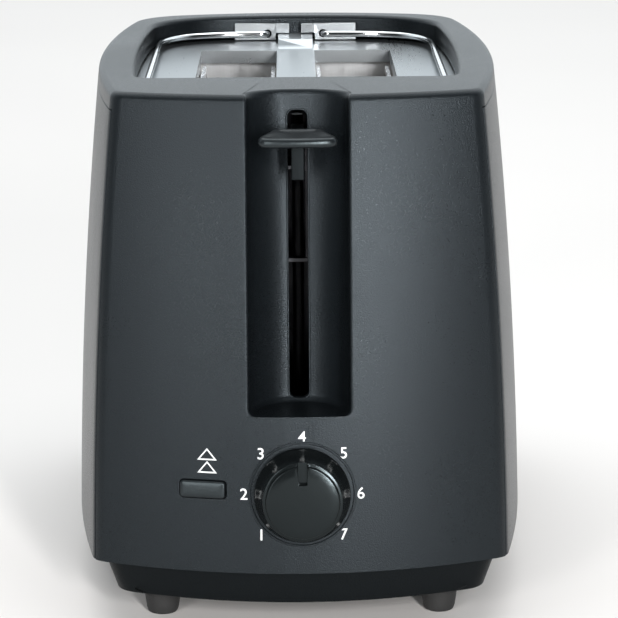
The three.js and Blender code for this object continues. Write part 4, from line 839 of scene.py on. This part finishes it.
rings = [shell_ring(z, plain_points) for z in (24, 26.5, 31, 37, 43, 49, 55, 61, 67, 72, 76)]
rings.append(shell_ring(FLOOR_Z, plain_points, CHANNEL_HALF - FLOOR_CORNER))
for a in (0, 22.5, 45, 67.5, 90):
    a = radians(a)
    half = CHANNEL_HALF - FLOOR_CORNER * (1 - sin(a))
    rings.append(shell_ring(FLOOR_Z + FLOOR_CORNER * (1 - cos(a)), channel_points, half))
rings += [shell_ring(z, channel_points) for z in (86, 94, 103, 112, 121, 130, 139, 148, 157, 165, 172, 178)]
panel_row = len(rings)
rings += [shell_ring(z, channel_points) for z in (PANEL_TOP, 182, 183.4, 184.8)]
for a in range(15, 91, 15):
    a = radians(a)
    z = BODY_TOP - TOP_EDGE * (1 - sin(a))
    taken = TOP_EDGE * (1 - cos(a))
    rings.append(shell_ring(z, channel_points, CHANNEL_HALF + 0.5 * taken, taken))
for a in range(0, 91, 15):
    a = radians(a)
    rings.append(opening_ring(RIM_EDGE * (1 - sin(a)), BODY_TOP - RIM_EDGE * (1 - cos(a))))
rings += [opening_ring(0, 182), opening_ring(0, 178.2)]

bm = bmesh.new()
rows = loft(bm, rings)
corner_start = CHANNEL_COLUMNS + FRONT_STEPS
panel_start = corner_start + CORNER_TS.index(0.55)
panel_stop = corner_start + 2 * len(CORNER_TS) + FLANK_STEPS - 2 - CORNER_TS.index(0.81)
count = len(rings[0])
spans = [range(panel_start, panel_stop), range(count - 1 - panel_stop, count - 1 - panel_start)]
doomed = []
for r in range(panel_row):
    for span in spans:
        for c in span:
            corners = {rows[r][c], rows[r][c + 1], rows[r + 1][c], rows[r + 1][c + 1]}
            doomed += [f for f in rows[r][c].link_faces if set(f.verts) == corners]
bmesh.ops.delete(bm, geom=list(set(doomed)), context="FACES")
shell = piece_of("moulded_shell", bm, shell_plastic, "housing", ("housing_shell",))
thicken(shell, SHELL_WALL)
settle_modifiers(shell)


def wall_frame(end, x, z):
    """Stands on the front (-1) or rear (1) wall: Z out of the wall, Y up it."""
    across = (wall_reach(x + 1, z) - wall_reach(x - 1, z)) / 2
    up = (wall_reach(x, z + 1) - wall_reach(x, z - 1)) / 2
    out = Vector((-across, end, -up)).normalized()
    upward = (Vector((0, 0, 1)) - out * out.z).normalized()
    sideways = upward.cross(out)
    turn = Matrix((sideways, upward, out)).transposed().to_4x4()
    return Matrix.Translation(Vector((x, end * wall_reach(x, z) + MIDDLE_Y, z)) * MM) @ turn


KNOB_X, _, KNOB_Z = joint_place("browning_knob_turn")
BUTTON_X, BUTTON_Z, GLAND_X, GLAND_Z = -33.5, 53.2, 40, 38
SLOT_WIDTH, SLOT_LENGTH, SLOT_CORNER, SLOT_MIDDLE = 6.7, 100, 2.3, 130
SHAFT_HOLE, GLAND_HOLE, KNOB_BEAD = 4, 5.5, 17.6
knob_place = wall_frame(-1, KNOB_X, KNOB_Z)
button_place = wall_frame(-1, BUTTON_X, BUTTON_Z)
gland_place = wall_frame(1, GLAND_X, GLAND_Z)
upright = Matrix.Rotation(pi / 2, 4, "X")
slot_x = (-SLOT_WIDTH / 2, SLOT_WIDTH / 2)
slot_z = (SLOT_MIDDLE - SLOT_LENGTH / 2, SLOT_MIDDLE + SLOT_LENGTH / 2)
cutters = bmesh.new()
block(cutters, slot_x, slot_z, (85, 135), corner=SLOT_CORNER, turn=upright)
block(cutters, (-8.4, 8.4), (-3.4, 3.4), (-12, 6), corner=1.5, turn=button_place)
turned(cutters, [(0, -12), (SHAFT_HOLE, -12), (SHAFT_HOLE, 6), (0, 6)], 32, knob_place)
turned(cutters, [(0, -12), (GLAND_HOLE, -12), (GLAND_HOLE, 6), (0, 6)], 32, gland_place)
carve(shell, cutters)
level = shell.modifiers.new("level", "WEIGHTED_NORMAL")
level.keep_sharp, level.weight = True, 80


def raised_bead(bm, profile, outline):
    """Sweeps a bead's profile of (outward, height) pairs round an outline."""
    loft(bm, [outline(outward, height) for outward, height in (*profile, profile[0])])


def round_slot(outward, height):
    """The slot's outline on the flat of the channel's back, moved outward and raised."""
    path = rounded_section(SLOT_WIDTH + 2 * outward, SLOT_LENGTH + 2 * outward, SLOT_CORNER + outward, 6)
    flat = MIDDLE_Y + CHANNEL_HALF * cos(back_angle) - height
    return [(x, channel_axis(SLOT_MIDDLE + z) + flat, SLOT_MIDDLE + z) for x, z in path]


def around_knob(radius, angle):
    """A place on the front wall at a radius and a clock angle from the knob."""
    return wall_frame(-1, KNOB_X + radius * sin(angle), KNOB_Z + radius * cos(angle))


def round_knob(outward, height):
    """A circle on the front wall round the knob, moved outward and raised."""
    raised = Vector((0, 0, height * MM))
    return [around_knob(KNOB_BEAD + outward, 2 * pi * k / 96) @ raised / MM for k in range(96)]


slot_bead = ((0, -0.4), (0, 0.15), (0.2, 0.32), (0.45, 0.32), (0.65, 0.15), (0.65, -0.4))
knob_bead = ((0, -0.4), (0, 0.15), (0.25, 0.4), (0.65, 0.4), (0.9, 0.15), (0.9, -0.4))
bm = bmesh.new()
raised_bead(bm, slot_bead, round_slot)
raised_bead(bm, knob_bead, round_knob)
piece_of("moulded_beads", bm, shell_plastic, "housing")

# ---------------------------------------------------------------------------
# Side panels: separate mouldings of the same plastic, let into the shell's
# sides with a fine parting line all round.
# ---------------------------------------------------------------------------
PARTING_GAP = 0.5
for side_name, sign in (("left", -1), ("right", 1)):
    rings = []
    for z in (24, 27, 32, 38, 46, 56, 68, 80, 92, 104, 116, 128, 140, 152, 163, 172, 177, 180.6):
        ring = shell_ring(z, channel_points if z > FLOOR_Z else plain_points)
        points = [Vector(p) for p in ring[panel_start : panel_stop + 1]]
        for near, beside in ((0, 1), (-1, -2)):
            points[near] += (points[beside] - points[near]).normalized() * PARTING_GAP
        rings.append([(sign * p.x, p.y, p.z) for p in points])
    bm = bmesh.new()
    loft(bm, rings, closed=False)
    bm.normal_update()
    if sum(f.normal.x * sign for f in bm.faces) < 0:
        bmesh.ops.reverse_faces(bm, faces=bm.faces[:])
    panel = piece_of(
        f"{side_name}_panel", bm, shell_plastic, "housing", (f"{side_name}_side_panel",),
        outward=False,
    )
    thicken(panel, SHELL_WALL)
    soften(panel, 0.3, 2)

# ---------------------------------------------------------------------------
# Browning knob: glossy black moulding with a flared skirt and a flat face with
# a pointer notch, pushed on to the potentiometer's shaft.
# ---------------------------------------------------------------------------
gloss_black = finish_with(
    "gloss_black", moulded_grain, (0.004, 0.005, 0.0052), (0.003, 0.0038, 0.004), ior=1.3,
    tint=(0.8, 0.95, 1), Grain=700, Patches=90, Smoothest=0.15, Roughest=0.2, Depth=0.000003,
)
satin_black = finish_with(
    "satin_black", moulded_grain, (0.006, 0.007, 0.008), (0.004, 0.005, 0.006), ior=1.42,
    tint=(0.8, 0.95, 1), Grain=1300, Patches=70, Smoothest=0.26, Roughest=0.36, Depth=0.00002,
)
knob_outline = [(0, 9.9), (3.3, 9.9), (3.3, 0.6), (15.9, 0.6), *arc((16.0, 1.1), 0.5, 270, 360, 3)]
knob_outline += [(16.5, 1.8), (15.95, 3.0), (15.2, 4.6), (14.55, 6.4), (14.1, 8.2)]
knob_outline += [(13.85, 10.0), (13.75, 11.2)]
knob_outline += [*arc((13.35, 11.6), 0.4, 10, 90, 3), (12.95, 12.05), (12.7, 12.1), (12.6, 12.25)]
knob_outline += [(12.5, 12.9), *arc((12.1, 13.1), 0.4, 10, 85, 4), (9, 13.68), (5, 13.82), (0, 13.86)]
bm = bmesh.new()
turned(bm, knob_outline, 96, knob_place)
knob = piece_of("knob_moulding", bm, gloss_black, "knob", ("browning_knob",))
POINTER_NOTCH = (-1.6, 1.6), (6.2, 20), (11.2, 16)
notch = bmesh.new()
block(notch, *POINTER_NOTCH, corner=0.5, turn=knob_place)
carve(knob, notch)
soften(knob, 0.15, 2, 50)

# ---------------------------------------------------------------------------
# Cancel button: a small domed key in the same plastic as the base, standing a
# little out of its hole in the front wall, with a flange behind.
# ---------------------------------------------------------------------------
KEY_WIDTH, KEY_HEIGHT, KEY_CORNER = 16.0, 6.0, 1.2
KEY_FLANGE = (-9.5, 9.5), (-4.5, 4.5), (-4.7, -3.7)
key_sides = ((0, -6.0), (0, -3), (0, 0.55), (0.1, 0.85), (0.35, 1.08), (0.8, 1.2), (1.6, 1.27), (2.4, 1.3))
bm = bmesh.new()
rings = []
for inset, height in key_sides:
    corner = max(0.3, KEY_CORNER - inset)
    ring = rounded_section(KEY_WIDTH - 2 * inset, KEY_HEIGHT - 2 * inset, corner)
    rings.append([button_place @ (Vector((x, y, height)) * MM) / MM for x, y in ring])
rows = loft(bm, rings)
cap(bm, list(reversed(rows[0])))
cap(bm, rows[-1])
block(bm, *KEY_FLANGE, corner=1.4, turn=button_place)
piece_of("button_key", bm, satin_black, "button", ("cancel_button",), sharp=50)

# ---------------------------------------------------------------------------
# Printing on the front wall: the dial's numerals and two open arrow heads over
# the button, in white ink.
# ---------------------------------------------------------------------------
white_ink = finish_with(
    "white_ink", moulded_grain, (0.80, 0.81, 0.81), (0.66, 0.67, 0.67),
    Grain=2600, Patches=300, Smoothest=0.45, Roughest=0.6, Depth=0.00001,
)
NUMERALS, DIAL_SWEEP, NUMERAL_RADIUS, NUMERAL_SIZE = 7, 270, 20.1, 5.6
bm = bmesh.new()
for i in range(NUMERALS):
    angle = radians(DIAL_SWEEP * (i / (NUMERALS - 1) - 0.5))
    lettering = bpy.data.curves.new("numeral", "FONT")
    lettering.body = str(i + 1)
    lettering.align_x, lettering.align_y = "CENTER", "CENTER"
    lettering.size, lettering.extrude, lettering.offset = NUMERAL_SIZE, 0.02, 0.035
    holder = bpy.data.objects.new("numeral", lettering)
    scene.collection.objects.link(holder)
    bpy.context.view_layer.update()
    flat = bpy.data.meshes.new_from_object(holder.evaluated_get(bpy.context.evaluated_depsgraph_get()))
    bpy.data.objects.remove(holder)
    spots = [v.co for v in flat.vertices]
    middle = (Vector(map(min, *spots)) + Vector(map(max, *spots))) / 2
    centred = Matrix.Translation((-middle.x, -middle.y, 0.03))
    flat.transform(around_knob(NUMERAL_RADIUS, angle) @ Matrix.Scale(MM, 4) @ centred)
    bm.from_mesh(flat)
    bpy.data.meshes.remove(flat)
piece_of("dial_numerals", bm, white_ink, "housing", sharp=40)

ARROW_X, ARROW_FEET, INK_THICKNESS = -32, (58.9, 63.4), 0.04
arrow_outside = ((-3.5, 0), (3.5, 0), (0, 4.2))
arrow_inside = ((-2.5, 0.5), (2.5, 0.5), (0, 3.5))
bm = bmesh.new()
for foot_z in ARROW_FEET:
    turn = wall_frame(-1, ARROW_X, foot_z) @ Matrix.Translation((0, 0, INK_THICKNESS * MM))
    outlines = (arrow_outside, arrow_inside)
    outer, inner = [[bm.verts.new(turn @ (Vector((*spot, 0)) * MM)) for spot in spots] for spots in outlines]
    for k in range(3):
        bm.faces.new((outer[k], outer[(k + 1) % 3], inner[(k + 1) % 3], inner[k]))
arrows = piece_of("button_arrows", bm, white_ink, "housing", outward=False)
ink = arrows.modifiers.new("ink", "SOLIDIFY")
ink.thickness, ink.offset = INK_THICKNESS * MM, 0

# ---------------------------------------------------------------------------
# Lever: a flared black paddle moulded on a flat stem, which passes through the
# slot in the channel's back and is fixed to the carriage bracket.
# ---------------------------------------------------------------------------
PADDLE_REAR, PADDLE_Z, PADDLE_FALL, HALF_THICK = -104.6, 173.6, 0.05, 1.6
PADDLE_MIDDLE = Vector((0, -114))
LEVER_STEM = (-2.25, 2.25), (-114, -82.2), (158.8, 173.2)
half_plan = [(0, PADDLE_REAR), (4, PADDLE_REAR), (7.4, PADDLE_REAR)]
half_plan += [*arc((7.5, PADDLE_REAR - 1.4), 1.4, 90, 15, 4)]
half_plan += [(9.9, -109), (11.3, -112.4), (12.6, -115.8), (13.2, -117.6)]
half_plan += [(13.4, -118.8), (13.3, -119.9), (12.8, -121.0), (11.9, -121.7)]
half_plan += [(10.6, -122.1), (8, -122.5), (4, -122.8), (0, -122.9)]
paddle_outline = full_ring([Vector(p) for p in half_plan])


def paddle_ring(inward, rise):
    """The paddle's outline drawn in by an amount, on its gently falling top."""
    ring = []
    for p in paddle_outline:
        away = p - PADDLE_MIDDLE
        p = PADDLE_MIDDLE + away * (1 - inward / away.length)
        ring.append((p.x, p.y, PADDLE_Z + (p.y - PADDLE_REAR) * PADDLE_FALL + rise))
    return ring


rings = [paddle_ring(4, -HALF_THICK)]
for a in range(-90, 91, 15):
    a = radians(a)
    rings.append(paddle_ring(HALF_THICK * 0.9 * (1 - cos(a)), HALF_THICK * sin(a)))
for inward, dish in ((2.6, 0), (3.4, 0.25), (6, 0.4)):
    rings.append(paddle_ring(inward, HALF_THICK - dish))
bm = bmesh.new()
rows = loft(bm, rings)
cap(bm, list(reversed(rows[0])))
cap(bm, rows[-1])
piece_of("lever_paddle", bm, satin_black, "carriage", ("lever_knob",), sharp=40)

bm = bmesh.new()
block(bm, *LEVER_STEM, corner=0.6)
stem = piece_of("lever_stem", bm, pan_plastic, "carriage")
soften(stem, 0.4, 2, clamp=True)

# ---------------------------------------------------------------------------
# Cord gland: a ribbed rubber bush pushed through the rear wall. The cord itself
# is not part of this model.
# ---------------------------------------------------------------------------
gland_outline = [(3.6, -5.5), (4.5, -5.5), (4.5, 0.8), (6.9, 0.8), (7.0, 1.2), (6.8, 2.0), (6.0, 2.3)]
for rib in range(3):
    base, radius = 2.5 + rib * 1.1, 5.4 - 0.3 * rib
    for outward, height in ((0, 0), (0.1, 0.3), (0, 0.6), (-0.5, 0.8)):
        gland_outline.append((radius + outward, base + height))
gland_outline += [(4.0, 5.4), (3.6, 5.4), (3.6, -5.5)]
bm = bmesh.new()
turned(bm, gland_outline, 40, gland_place)
piece_of("rubber_gland", bm, foot_rubber, "housing", ("cord_gland",))
